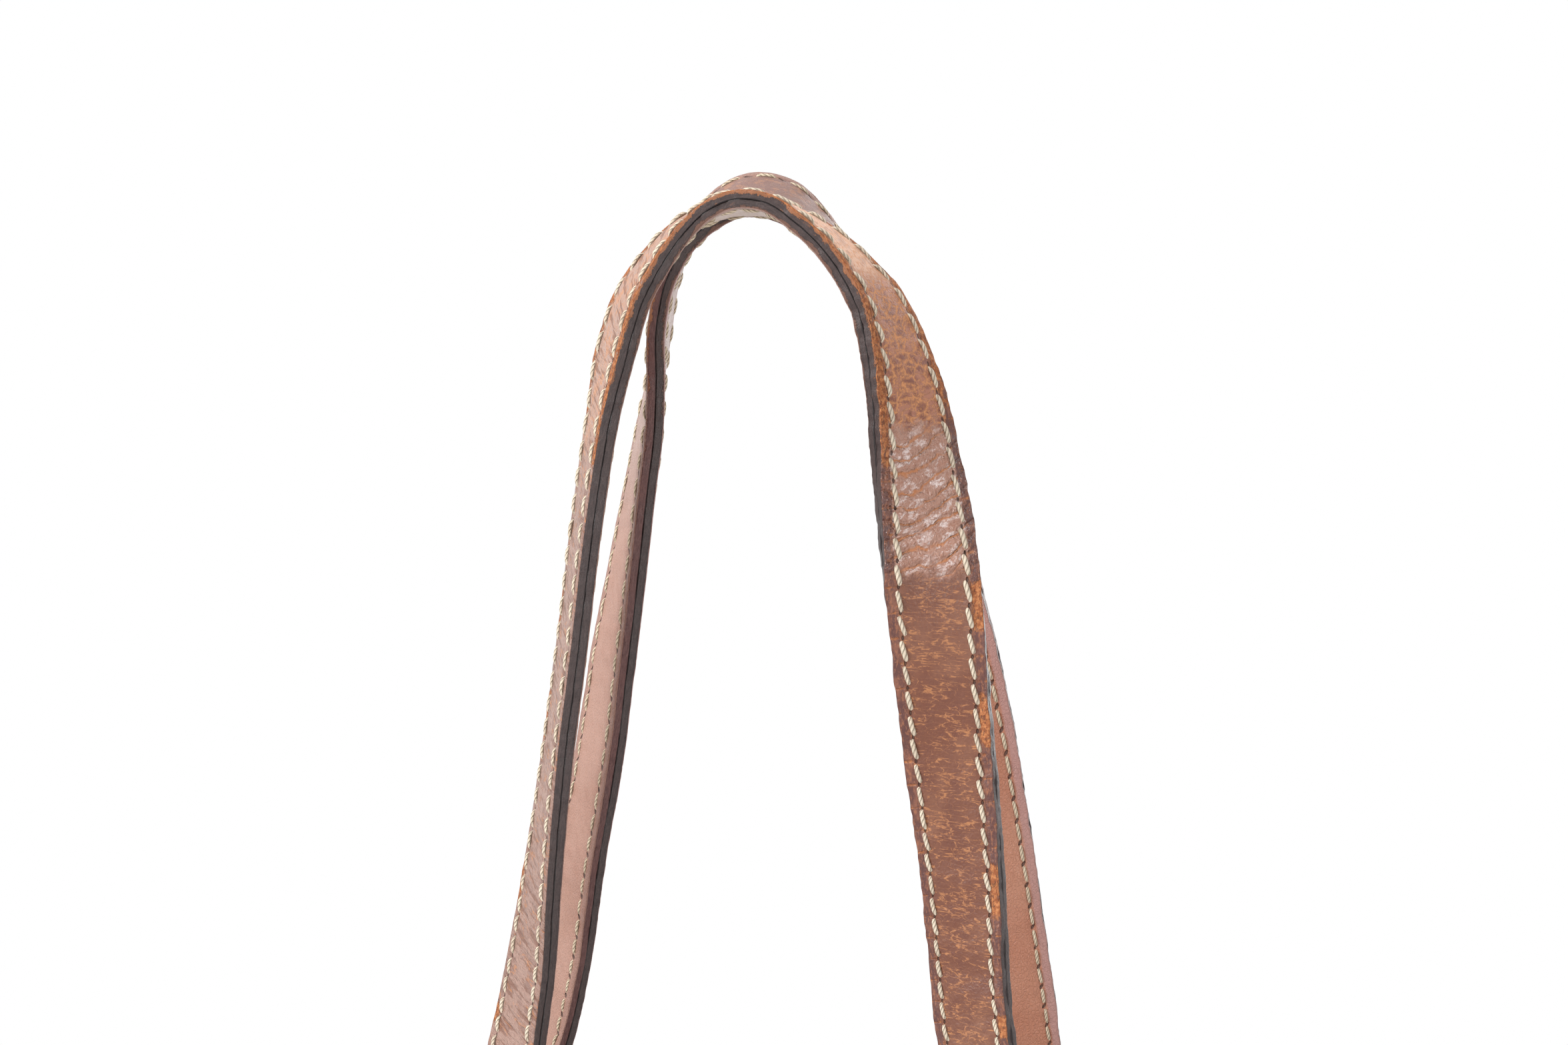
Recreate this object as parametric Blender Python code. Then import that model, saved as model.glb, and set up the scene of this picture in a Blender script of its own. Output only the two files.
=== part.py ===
"""Leather tote bag with two long handles, standing open on its base.

Frame: metres, +Z up, the front panel faces -Y, the origin is the middle of the base on the
floor. The handles are drawn up and lean together over the mouth, each turning along its length
the way a worn strap does.
"""
import math

import bmesh
import bpy
import numpy as np

# Bag body
BODY_HEIGHT = 0.285
BASE_HALF_WIDTH = 0.166
RIM_HALF_WIDTH = 0.177
BASE_HALF_DEPTH = 0.062
RIM_HALF_DEPTH = 0.038
RIM_SIDE_HALF_DEPTH = 0.027
PANEL_BULGE = 0.003
RIM_CORNER_DROP = 0.005
BOTTOM_RADIUS = 0.018

# Leather thicknesses and the clearance between neighbouring layers
PANEL_THICKNESS = 0.0024
BASE_THICKNESS = 0.0024
GUSSET_THICKNESS = 0.0020
FACING_THICKNESS = 0.0018
POCKET_THICKNESS = 0.0016
CHAPE_THICKNESS = 0.0020
GAP = 0.0003

# Base reinforcement, board, seams, facings and pocket
BASE_LAP_HEIGHT = 0.036
BOARD_THICKNESS = 0.0025
BOARD_MARGIN = 0.016
BOARD_CORNER = 0.012
SEAM_WIDTH = 0.009
SEAM_BEND = 0.005
GUSSET_FOLD = 0.034
GUSSET_FOLD_FOOT = 0.090
GUSSET_DIP = 0.005
GUSSET_FAN_HEIGHT = 0.034
FACING_HEIGHT = 0.036
POCKET_WIDTH = 0.180
POCKET_HEIGHT = 0.115
POCKET_TOP_BELOW_RIM = 0.062
POCKET_ROOM = 0.0090
POCKET_BORDER = 0.014

# Magnetic snap
SNAP_RADIUS = 0.009
SNAP_THICKNESS = 0.0028
SNAP_HEIGHT_BELOW_RIM = 0.019
SNAP_STUD_RADIUS = 0.0034
SNAP_STUD_HEIGHT = 0.0016

# Rings and chapes
ANCHOR_X = 0.071
RING_INNER_WIDTH = 0.026
RING_INNER_HEIGHT = 0.014
RING_BAR_RADIUS = 0.0022
RING_CORNER_RADIUS = 0.0035
RING_ABOVE_RIM = 0.0085
CHAPE_NECK_WIDTH = 0.0205
CHAPE_FULL_WIDTH = 0.030
CHAPE_LENGTH = 0.078
CHAPE_TIP_WIDTH = 0.010

# Handles
STRAP_WIDTH = 0.025
STRAP_LAYER = 0.0023
STRAP_END_SHARE = 0.8
STRAP_TAPER_START = 0.040
STRAP_TAPER_END = 0.290
HANDLE_LEAN = math.radians(18.0)
HANDLE_RISE = 0.2905
HANDLES_APART = 0.014
STRAP_CHAMFER = 0.0005
TURN_BACK = 0.034
STRAIGHT_END = 0.017
TAIL_SETTLE = 0.012
INNER_LAYER_START = 0.014

# Way of each handle from its left ring over the top to its right ring: distance to the right of
# the bag's middle, drop below the top, share of the handles' parting, turn of the outer face
# towards the front (degrees)
FRONT_WAY = [
    (-0.0618, 0.2140, 1.16, 46.0), (-0.0591, 0.1970, 1.04, 42.0),
    (-0.0556, 0.1695, 1.00, 31.0), (-0.0521, 0.1420, 1.00, 24.0), (-0.0484, 0.1145, 1.00, 22.0),
    (-0.0441, 0.0800, 1.00, 22.0), (-0.0400, 0.0535, 1.00, 22.0), (-0.0363, 0.0358, 1.00, 25.0),
    (-0.0319, 0.0230, 1.00, 23.0), (-0.0257, 0.0136, 1.00, 19.0), (-0.0177, 0.0053, 1.00, 12.0),
    (-0.0115, 0.0018, 1.00, 5.0), (-0.0045, 0.0000, 1.00, 0.0), (0.0036, 0.0008, 1.00, 0.0),
    (0.0116, 0.0050, 1.00, 4.0), (0.0187, 0.0105, 1.00, 8.0), (0.0260, 0.0185, 1.00, 14.0),
    (0.0304, 0.0250, 1.00, 19.0), (0.0342, 0.0345, 1.00, 26.0), (0.0374, 0.0463, 1.00, 35.0),
    (0.0407, 0.0658, 1.00, 50.0), (0.0430, 0.0818, 1.00, 63.0), (0.0451, 0.1004, 1.00, 83.0),
    (0.0485, 0.1340, 1.00, 99.0), (0.0522, 0.1680, 1.00, 111.0), (0.0560, 0.2110, 1.16, 117.0)]
REAR_WAY = [
    (-0.0598, 0.2200, 1.16, 38.0),
    (-0.0558, 0.2000, 1.06, 42.0), (-0.0520, 0.1770, 1.00, 38.0), (-0.0466, 0.1485, 1.00, 34.0),
    (-0.0424, 0.1200, 1.00, 30.0), (-0.0390, 0.0990, 1.00, 25.0), (-0.0357, 0.0780, 1.00, 20.0),
    (-0.0332, 0.0630, 1.00, 17.0), (-0.0314, 0.0492, 1.00, 11.0), (-0.0303, 0.0362, 1.00, 6.0),
    (-0.0277, 0.0222, 1.00, 8.0), (-0.0238, 0.0134, 1.00, 12.0), (-0.0166, 0.0050, 1.00, 18.0),
    (-0.0079, 0.0002, 1.00, 22.0), (0.0012, 0.0010, 1.00, 20.0), (0.0088, 0.0060, 1.00, 12.0),
    (0.0155, 0.0125, 1.00, 2.0), (0.0218, 0.0210, 1.00, -10.0), (0.0268, 0.0312, 1.00, -22.0),
    (0.0307, 0.0420, 1.00, -33.0), (0.0346, 0.0542, 1.00, -46.0), (0.0376, 0.0698, 1.00, -60.0),
    (0.0401, 0.0870, 1.00, -74.0), (0.0427, 0.1040, 1.00, -84.0), (0.0470, 0.1196, 1.00, -89.0),
    (0.0517, 0.1405, 1.00, -92.0), (0.0577, 0.1750, 1.00, -93.0), (0.0645, 0.2200, 1.16, -93.0)]
REAR_TOP_ABOVE_FRONT = 0.0048

# Mesh fineness
ACROSS_STEPS = 14
DOWN_STEPS = 10
CORNER_STEPS = 4
BOTTOM_STEPS = 2
FAN_STEPS = 4
STRAP_STEP = 0.0078
LOOP_STEPS = 6
RING_SIDES = 8

# Heights and places that follow from the sizes above
WRAP_FLOOR = BASE_THICKNESS + GAP
CORNER_TOP = WRAP_FLOOR + BOTTOM_RADIUS
RING_WIDTH = RING_INNER_WIDTH + 2 * RING_BAR_RADIUS
RING_HEIGHT = RING_INNER_HEIGHT + 2 * RING_BAR_RADIUS
LOWER_BAR_HEIGHT = BODY_HEIGHT + RING_ABOVE_RIM

COLOURS = {
    "brown_leather": ((0.24, 0.11, 0.06), 0.48, 0.0),
    "tan_leather": ((0.38, 0.22, 0.14), 0.62, 0.0),
    "dark_board": ((0.10, 0.07, 0.05), 0.80, 0.0),
    "brass": ((0.62, 0.44, 0.20), 0.30, 1.0),
}


def clear_scene():
    """Remove what the new file holds, so that only the bag is in it."""
    for obj in list(bpy.data.objects):
        bpy.data.objects.remove(obj, do_unlink=True)


def material(name):
    """Principled material of the given name, made on first use."""
    found = bpy.data.materials.get(name)
    if found:
        return found
    colour, roughness, metallic = COLOURS[name]
    made = bpy.data.materials.new(name)
    made.use_nodes = True
    shader = made.node_tree.nodes["Principled BSDF"]
    shader.inputs["Base Color"].default_value = (*colour, 1.0)
    shader.inputs["Roughness"].default_value = roughness
    shader.inputs["Metallic"].default_value = metallic
    return made


def unit(vectors):
    """Vectors scaled to length one along the last axis."""
    return vectors / np.linalg.norm(vectors, axis=-1, keepdims=True)


def add_object(name, bm, finish, parent=None, location=(0.0, 0.0, 0.0)):
    """Turn a bmesh into a named object, its mesh kept relative to its own place."""
    mesh = bpy.data.meshes.new(name)
    bmesh.ops.translate(bm, verts=bm.verts, vec=[-value for value in location])
    bm.to_mesh(mesh)
    bm.free()
    mesh.shade_smooth()
    mesh.set_sharp_from_angle(angle=math.radians(40))
    mesh.materials.append(material(finish))
    obj = bpy.data.objects.new(name, mesh)
    bpy.context.scene.collection.objects.link(obj)
    obj.location = location
    if parent:
        obj.parent = parent
        obj.location = [value - base for value, base in zip(location, parent.location)]
    return obj


def sheet(name, grid, thickness, finish):
    """Leather sheet: a grid of points on its outer face, given a wall on its other side."""
    rows, columns = grid.shape[:2]
    bm = bmesh.new()
    verts = [bm.verts.new(point) for point in grid.reshape(-1, 3)]
    for row in range(rows - 1):
        for column in range(columns - 1):
            first = row * columns + column
            second = first + columns
            bm.faces.new((verts[first], verts[second], verts[second + 1], verts[first + 1]))
    bmesh.ops.remove_doubles(bm, verts=bm.verts, dist=0.00001)
    obj = add_object(name, bm, finish)
    wall = obj.modifiers.new("leather", "SOLIDIFY")
    wall.thickness = thickness
    wall.offset = -1.0
    wall.use_even_offset = True
    wall.use_quality_normals = True
    return obj


def loft(name, rings, finish, parent=None, location=(0.0, 0.0, 0.0), closed=False, back=()):
    """Skin a row of like rings of points; an open row gets a cap at each end.

    Each four-sided step is split along the diagonal that leans the same way on both faces of a
    strap, so that layers twisted together stay parallel. The steps numbered in back run the
    other way along the strap, and are split the other way.
    """
    bm = bmesh.new()
    loops = [[bm.verts.new(point) for point in ring] for ring in rings]
    count = len(loops[0])
    pairs = list(zip(loops, loops[1:]))
    if closed:
        pairs.append((loops[-1], loops[0]))
    else:
        bm.faces.new(loops[0])
        bm.faces.new(loops[-1])
    for number, (low, high) in enumerate(pairs):
        for index in range(count):
            after = (index + 1) % count
            if (index < count // 2) != (number in back):
                bm.faces.new((low[index], low[after], high[after]))
                bm.faces.new((low[index], high[after], high[index]))
            else:
                bm.faces.new((low[index], low[after], high[index]))
                bm.faces.new((low[after], high[after], high[index]))
    bmesh.ops.recalc_face_normals(bm, faces=bm.faces)
    return add_object(name, bm, finish, parent, location)


def joint_frame(name, height, apart):
    """Empty on a ring bar's axis, which the pieces that turn there are parented to."""
    empty = bpy.data.objects.new(name, None)
    bpy.context.scene.collection.objects.link(empty)
    empty.location = (0.0, apart, height)
    return empty


def half_width(height):
    """Half width of a panel at a height above the floor."""
    return BASE_HALF_WIDTH + (RIM_HALF_WIDTH - BASE_HALF_WIDTH) * height / BODY_HEIGHT


def half_depth(across, height):
    """Half depth of the bag's outer face: full at the base, drawn in towards the rim."""
    rise = np.clip(height / BODY_HEIGHT, 0.0, 1.2)
    draw = rise ** 1.6
    middle = BASE_HALF_DEPTH + (RIM_HALF_DEPTH - BASE_HALF_DEPTH) * draw
    middle = middle + PANEL_BULGE * np.sin(np.pi * np.clip(rise, 0.0, 1.0))
    side = BASE_HALF_DEPTH + (RIM_SIDE_HALF_DEPTH - BASE_HALF_DEPTH) * draw
    return middle + (side - middle) * np.abs(across / half_width(height)) ** 3


def rim_height(across):
    """Height of the rim, a little lower at the corners."""
    return BODY_HEIGHT - RIM_CORNER_DROP * np.abs(across / RIM_HALF_WIDTH) ** 4


def profile(share, side, top_down=0.0):
    """Points down a panel and under to the middle seam, at a share of the half width.

    The wall is half_depth over height, the corner a quarter circle, the bottom straight.
    """
    rim = rim_height(share * RIM_HALF_WIDTH) - top_down
    wall_height = np.linspace(rim, CORNER_TOP, DOWN_STEPS + 1)
    across = share * half_width(wall_height)
    wall = np.stack([across, half_depth(across, wall_height), wall_height], -1)
    foot_x = share * half_width(CORNER_TOP)
    centre = half_depth(foot_x, CORNER_TOP) - BOTTOM_RADIUS
    angle = np.linspace(0.0, math.pi / 2, CORNER_STEPS + 1)[1:]
    corner_height = CORNER_TOP - BOTTOM_RADIUS * np.sin(angle)
    corner = np.stack([share * half_width(corner_height), centre + BOTTOM_RADIUS * np.cos(angle),
                       corner_height], -1)
    inward = np.linspace(centre, GAP / 2, BOTTOM_STEPS + 1)[1:]
    bottom = np.stack([np.full_like(inward, share * half_width(WRAP_FLOOR)), inward,
                       np.full_like(inward, WRAP_FLOOR)], -1)
    points = np.concatenate([wall, corner, bottom])
    points[:, 1] *= side
    return points


def shares():
    """Places across a panel as shares of its half width, with one at each seam's inner edge."""
    seam = 1.0 - (SEAM_WIDTH + SEAM_BEND) / RIM_HALF_WIDTH
    inner = np.linspace(-seam, seam, ACROSS_STEPS + 1)
    return np.concatenate([[-1.0], inner, [1.0]])


def wrap_face(side):
    """Outer face of one body panel, rim to middle seam, as a grid across by down."""
    grid = np.stack([profile(share, side) for share in shares()])
    return grid if side > 0 else grid[::-1]


def normals(grid):
    """Outward directions on a grid: the cross product of its two finite differences."""
    return unit(np.cross(np.gradient(grid, axis=0), np.gradient(grid, axis=1)))


def build_panel(name, side):
    """One body panel: a face of the bag that turns under to the middle seam."""
    grid = wrap_face(side)
    if np.mean(normals(grid)[:, :DOWN_STEPS, 1]) * side < 0:
        grid = grid[::-1]
    sheet(name, grid, PANEL_THICKNESS, "brown_leather")
    return grid


def build_base(front_grid, rear_grid):
    """Base reinforcement: a second layer under the bag, lapped up over both panels."""
    def lap(grid):
        out = grid + normals(grid) * (GAP + BASE_THICKNESS)
        top = BASE_LAP_HEIGHT
        wall = out[:, DOWN_STEPS:DOWN_STEPS + CORNER_STEPS + BOTTOM_STEPS]
        upper = out[:, DOWN_STEPS - 1]
        lower = out[:, DOWN_STEPS]
        part = ((top - lower[:, 2]) / (upper[:, 2] - lower[:, 2]))[:, None]
        edge = lower + (upper - lower) * part
        wall = np.concatenate([edge[:, None], wall], axis=1)
        wall[:, CORNER_STEPS + 1:, 2] = 0.0
        return wall
    front = lap(front_grid)
    rear = lap(rear_grid)
    if (front[0, 0, 0] > 0) != (rear[0, 0, 0] > 0):
        rear = rear[::-1]
    grid = np.concatenate([front, rear[:, ::-1]], axis=1)
    if np.mean(normals(grid)[:, CORNER_STEPS + 1, 2]) > 0:
        grid = grid[::-1]
    sheet("base_panel", grid, BASE_THICKNESS, "brown_leather")


def build_facing(name, grid, side):
    """Facing: a strip inside the rim, between the side seams."""
    facing_rows = 3
    inner = grid - normals(grid) * (PANEL_THICKNESS + GAP)
    columns = inner[2:-2]
    top = columns[:, 0]
    down = unit(columns[:, 1] - columns[:, 0])
    steps = np.linspace(0.0, FACING_HEIGHT, facing_rows + 1)
    strip = top[:, None] + down[:, None] * steps[None, :, None]
    sheet(name, strip, FACING_THICKNESS, "tan_leather")


def build_gusset(name, hand):
    """Side gusset: seam flange along the U of the panels, a bend, and a face folded inwards.

    Along the U each station gives the seam line; from it the flange runs in along the panel,
    a quarter circle turns it into the side, and straight lines run to the middle fold.
    """
    front = profile(hand, -1.0)
    rear = profile(hand, 1.0)
    line = np.concatenate([front, rear[::-1]])
    inner_share = hand * (1.0 - SEAM_WIDTH / RIM_HALF_WIDTH)
    inner_line = np.concatenate([profile(inner_share, -1.0), profile(inner_share, 1.0)[::-1]])
    along = unit(np.gradient(line, axis=0))
    inward = unit(np.cross(along, np.broadcast_to([1.0, 0.0, 0.0], along.shape)))
    middle = np.array([0.0, 0.0, BODY_HEIGHT / 2])
    if np.sum((middle - line)[0] * inward[0]) < 0:
        inward = -inward
    offset = PANEL_THICKNESS + GAP
    columns = [line + inward * offset, inner_line + inward * offset]
    for angle in np.linspace(0.0, math.pi / 2, 4)[1:]:
        step = np.array([-hand * SEAM_BEND * math.sin(angle), 0.0, 0.0])
        columns.append(inner_line + step + inward * (offset + SEAM_BEND * (1 - math.cos(angle))))
    edge = columns[-1]
    rise = np.clip((edge[:, 2] - GUSSET_FOLD_FOOT) / (BODY_HEIGHT - GUSSET_FOLD_FOOT), 0.0, 1.0)
    fold = GUSSET_FOLD * rise ** 1.3
    spine = edge.copy()
    spine[:, 1] = 0.0
    spine[:, 2] = np.maximum(edge[:, 2] - GUSSET_DIP * rise, GUSSET_FAN_HEIGHT)
    fan_x = np.interp(GUSSET_FAN_HEIGHT, edge[:len(edge) // 2, 2][::-1],
                      edge[:len(edge) // 2, 0][::-1])
    spine[:, 0] = np.where(spine[:, 2] > GUSSET_FAN_HEIGHT, edge[:, 0], fan_x) - hand * fold
    for part in np.linspace(0.0, 1.0, FAN_STEPS + 1)[1:]:
        columns.append(edge + (spine - edge) * part)
    grid = np.stack(columns, axis=1)
    if np.mean(normals(grid[:DOWN_STEPS, :3])[..., 1]) > 0:
        grid = grid[::-1]
    sheet(name, grid, GUSSET_THICKNESS, "brown_leather")


def build_board():
    """Stiffening board that lies loose on the bottom, inside the seams."""
    reach_x = half_width(WRAP_FLOOR) - BOARD_MARGIN
    reach_y = BASE_HALF_DEPTH - BOTTOM_RADIUS
    centres = [(1, 1), (-1, 1), (-1, -1), (1, -1)]
    outline = []
    for quarter, (sign_x, sign_y) in enumerate(centres):
        for step in range(5):
            angle = (quarter + step / 4) * math.pi / 2
            outline.append((sign_x * (reach_x - BOARD_CORNER) + BOARD_CORNER * math.cos(angle),
                            sign_y * (reach_y - BOARD_CORNER) + BOARD_CORNER * math.sin(angle)))
    low = WRAP_FLOOR + PANEL_THICKNESS + GAP
    rings = [[(x, y, low + lift) for x, y in outline] for lift in (0.0, BOARD_THICKNESS)]
    loft("base_board", rings, "dark_board")


def build_pocket(rear_grid):
    """Slip pocket sewn inside the rear panel: closed at three sides, standing off at the top."""
    rows, columns = 8, 12
    top = BODY_HEIGHT - POCKET_TOP_BELOW_RIM
    across = np.linspace(-POCKET_WIDTH / 2, POCKET_WIDTH / 2, columns + 1)
    height = np.linspace(top, top - POCKET_HEIGHT, rows + 1)
    x, z = np.meshgrid(across, height)
    side = np.clip((POCKET_WIDTH / 2 - np.abs(x)) / POCKET_BORDER - 0.5, 0.0, 1.0)
    foot = np.clip((z - (top - POCKET_HEIGHT)) / POCKET_BORDER - 0.5, 0.0, 1.0)
    ease = (side * side * (3 - 2 * side)) * (foot * foot * (3 - 2 * foot))
    room = POCKET_ROOM * ease * (0.9 + 0.1 * (z - top + POCKET_HEIGHT) / POCKET_HEIGHT)
    lean = (half_depth(0.0, top) - half_depth(0.0, top - POCKET_HEIGHT)) / POCKET_HEIGHT
    slope = math.sqrt(1.0 + lean * lean)
    y = half_depth(x, z) - (PANEL_THICKNESS + GAP) * slope - room - POCKET_THICKNESS * slope
    grid = np.stack([x, y - 0.00005, z], -1)
    if np.mean(normals(grid)[..., 1]) > 0:
        grid = grid[::-1]
    sheet("slip_pocket", grid, POCKET_THICKNESS, "tan_leather")


def disc(centre, normal, across, steps, radii_and_lifts):
    """Turned piece: circles of the given radii at the given lifts along an axis."""
    up = np.cross(normal, across)
    angle = np.linspace(0.0, 2 * math.pi, steps, endpoint=False)[:, None]
    circle = np.cos(angle) * across + np.sin(angle) * up
    return [centre + circle * radius + normal * lift for radius, lift in radii_and_lifts]


def build_snap(name, side):
    """Half of the magnetic snap, seated on the facing in the middle of the rim."""
    height = BODY_HEIGHT - SNAP_HEIGHT_BELOW_RIM
    step = 0.002
    slope = (half_depth(0.0, height + step) - half_depth(0.0, height - step)) / (2 * step)
    tilt = math.atan(slope)
    outward = np.array([0.0, side * math.cos(tilt), -math.sin(tilt)])
    across = np.array([1.0, 0.0, 0.0])
    face = np.array([0.0, side * half_depth(0.0, height), height])
    seat = face - outward * (PANEL_THICKNESS + FACING_THICKNESS + 2 * GAP + 0.00005)
    edge = 0.0006
    lifts = [(SNAP_RADIUS - edge, 0.0), (SNAP_RADIUS, edge), (SNAP_RADIUS, SNAP_THICKNESS - edge),
             (SNAP_RADIUS - edge, SNAP_THICKNESS)]
    if side > 0:
        lifts += [(SNAP_STUD_RADIUS, SNAP_THICKNESS),
                  (SNAP_STUD_RADIUS, SNAP_THICKNESS + SNAP_STUD_HEIGHT)]
    else:
        lifts += [(SNAP_STUD_RADIUS + GAP, SNAP_THICKNESS),
                  (SNAP_STUD_RADIUS + GAP, SNAP_THICKNESS - SNAP_STUD_HEIGHT)]
    loft(name, disc(seat, -outward, across, 20, lifts), "brass")


def bar_place():
    """Distance of the rings' lower bars from the bag's middle plane."""
    near = ANCHOR_X - CHAPE_FULL_WIDTH / 2
    face = float(half_depth(near, LOWER_BAR_HEIGHT))
    return face + GAP + CHAPE_THICKNESS + GAP + RING_BAR_RADIUS


def build_chape(name, hand, side):
    """Folded leather tab: up the panel, round the ring's lower bar and down over itself."""
    near = ANCHOR_X - CHAPE_FULL_WIDTH / 2
    loop = RING_BAR_RADIUS + GAP + CHAPE_THICKNESS / 2
    bar_y = bar_place()
    height = BODY_HEIGHT - np.linspace(CHAPE_LENGTH, 0.010, 8)
    face = half_depth(near, height) + GAP * 1.2
    back = np.stack([face + CHAPE_THICKNESS / 2, height], -1)
    front = np.stack([face + CHAPE_THICKNESS * 1.5 + GAP * 1.2, height], -1)[::-1]
    around = np.radians(np.linspace(180, -30, LOOP_STEPS + 1))
    arc = np.stack([bar_y + loop * np.cos(around), LOWER_BAR_HEIGHT + loop * np.sin(around)], -1)
    path = np.concatenate([back, arc, front])
    tangent = unit(np.gradient(path, axis=0))
    lateral = np.stack([-tangent[:, 1], tangent[:, 0]], -1)
    drop = np.clip((BODY_HEIGHT - path[:, 1]) / CHAPE_LENGTH, 0.0, 1.0)
    swell = np.clip(drop / 0.45, 0.0, 1.0)
    tip = np.clip((drop - 0.72) / 0.28, 0.0, 1.0)
    width = CHAPE_NECK_WIDTH + (CHAPE_FULL_WIDTH - CHAPE_NECK_WIDTH) * (3 - 2 * swell) * swell ** 2
    width = CHAPE_TIP_WIDTH + (width - CHAPE_TIP_WIDTH) * np.sqrt(1 - tip ** 2)
    rings = []
    for centre, out, wide in zip(path, lateral, width):
        ring = []
        for sign_x, sign_t in ((-1, -1), (1, -1), (1, 1), (-1, 1)):
            y, z = centre + out * sign_t * CHAPE_THICKNESS / 2
            ring.append((hand * ANCHOR_X + sign_x * wide / 2, side * y, z))
        rings.append(ring)
    loft(name, rings, "brown_leather")


def build_ring(name, hand, side, parent):
    """Rectangular ring of round bar with rounded corners, leaning in with the handle."""
    corner = RING_CORNER_RADIUS
    reach_x = RING_WIDTH / 2 - corner
    low, high = corner, RING_HEIGHT - corner
    path = []
    for quarter, (sign_x, height) in enumerate(((1, high), (-1, high), (-1, low), (1, low))):
        for step in range(4):
            angle = (quarter + step / 3) * math.pi / 2
            path.append((sign_x * reach_x + corner * math.cos(angle),
                         height + corner * math.sin(angle)))
    path = np.array(path)
    count = len(path)
    rings = []
    for index, (x, rise) in enumerate(path):
        along = path[(index + 1) % count] - path[index - 1]
        along = along / np.linalg.norm(along)
        out = np.array([along[1], -along[0]])
        ring = []
        for step in range(RING_SIDES):
            angle = 2 * math.pi * step / RING_SIDES
            flat_x = x + out[0] * RING_BAR_RADIUS * math.cos(angle)
            flat_z = rise + out[1] * RING_BAR_RADIUS * math.cos(angle)
            deep = RING_BAR_RADIUS * math.sin(angle)
            ring.append((hand * ANCHOR_X + flat_x,
                         side * (bar_place() - flat_z * math.sin(HANDLE_LEAN)
                                 + deep * math.cos(HANDLE_LEAN)),
                         LOWER_BAR_HEIGHT + flat_z * math.cos(HANDLE_LEAN)
                         + deep * math.sin(HANDLE_LEAN)))
        rings.append(ring)
    loft(name, rings, "brass", parent, tuple(parent.location), closed=True)


def upper_bar(side):
    """Place of the rings' upper bars: distance from the middle plane and height."""
    apart = bar_place() - RING_HEIGHT * math.sin(HANDLE_LEAN)
    return side * apart, LOWER_BAR_HEIGHT + RING_HEIGHT * math.cos(HANDLE_LEAN)


def smooth_way(stations, step):
    """Smooth curve through the stations: cubic pieces with chord-weighted tangents."""
    points = np.asarray(stations)
    length = np.linalg.norm(np.diff(points[:, :3], axis=0), axis=1)
    knot = np.concatenate([[0.0], np.cumsum(length)])
    chord = np.diff(points, axis=0) / length[:, None]
    weight = (length[1:] / (length[1:] + length[:-1]))[:, None]
    tangent = np.concatenate([chord[:1], chord[:-1] * weight + chord[1:] * (1 - weight),
                              chord[-1:]])
    place = np.linspace(0.0, knot[-1], int(round(knot[-1] / step)) + 1)
    piece = np.clip(np.searchsorted(knot, place, side="right") - 1, 0, len(length) - 1)
    size = length[piece][:, None]
    part = (place - knot[piece])[:, None] / size
    square = part ** 2
    cube = part ** 3
    return ((2 * cube - 3 * square + 1) * points[piece]
            + (cube - 2 * square + part) * size * tangent[piece]
            + (3 * square - 2 * cube) * points[piece + 1]
            + (cube - square) * size * tangent[piece + 1])


def strap_scale(drop):
    """Share of the full width and thickness at a drop below the handle's top."""
    part = np.clip((drop - STRAP_TAPER_START) / (STRAP_TAPER_END - STRAP_TAPER_START), 0.0, 1.0)
    return 1.0 - (1.0 - STRAP_END_SHARE) * part * part * (3 - 2 * part)


class Strap:
    """Middle surface of one handle: its way, and at each place the outward and wide directions.

    The tangent and the bag's depth direction give the plane of the loop; the turn swings the
    outer face out of it towards the front.
    """

    def __init__(self, way, side, top_lift):
        bar_y, bar_z = upper_bar(side)
        top = bar_z + HANDLE_RISE + top_lift
        self.end_share = STRAP_END_SHARE
        self.bar_offset = (STRAP_LAYER * self.end_share + GAP) / 2
        lean_y = -side * math.sin(HANDLE_LEAN)
        out_y, out_z = side * math.cos(HANDLE_LEAN), math.sin(HANDLE_LEAN)
        start_y = bar_y + out_y * self.bar_offset
        start_z = bar_z + out_z * self.bar_offset
        ends = []
        for hand in (-1, 1):
            ends.append([(hand * ANCHOR_X, start_y + lean_y * run,
                          start_z + math.cos(HANDLE_LEAN) * run, -90.0 * side)
                         for run in (0.0, STRAIGHT_END / 2, STRAIGHT_END)])
        body = [(x, side * HANDLES_APART * apart, top - drop, turn)
                for x, drop, apart, turn in way]
        stations = ends[0] + body + ends[1][::-1]
        samples = smooth_way(stations, STRAP_STEP)
        self.centre = samples[:, :3]
        turn = np.radians(samples[:, 3])[:, None]
        self.along = unit(np.gradient(self.centre, axis=0))
        flat_out = unit(np.cross(self.along, [0.0, 1.0, 0.0]))
        to_front = np.cross(self.along, flat_out)
        self.out = np.cos(turn) * flat_out + np.sin(turn) * to_front
        self.wide = np.cross(self.along, self.out)
        self.scale = strap_scale(top - self.centre[:, 2])
        steps = np.linalg.norm(np.diff(self.centre, axis=0), axis=1)
        self.run = np.concatenate([[0.0], np.cumsum(steps)])

    def rings(self, places, offsets, index, out, along):
        """Chamfered strap sections at places along and offsets off the middle surface."""
        centre = self.centre[index] + along * places[:, None] + out * offsets[:, None]
        tangent = unit(np.gradient(centre, axis=0))
        wide = self.wide[index]
        thick = unit(np.cross(wide, tangent))
        scale = self.scale[index]
        rings = []
        for row in range(len(centre)):
            half_w = STRAP_WIDTH * scale[row] / 2
            half_t = STRAP_LAYER * scale[row] / 2
            cut = STRAP_CHAMFER
            corners = ((-half_w, half_t - cut), (-half_w + cut, half_t), (half_w - cut, half_t),
                       (half_w, half_t - cut), (half_w, cut - half_t), (half_w - cut, -half_t),
                       (cut - half_w, -half_t), (-half_w, cut - half_t))
            rings.append([centre[row] + wide[row] * w + thick[row] * t for w, t in corners])
        return rings


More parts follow.
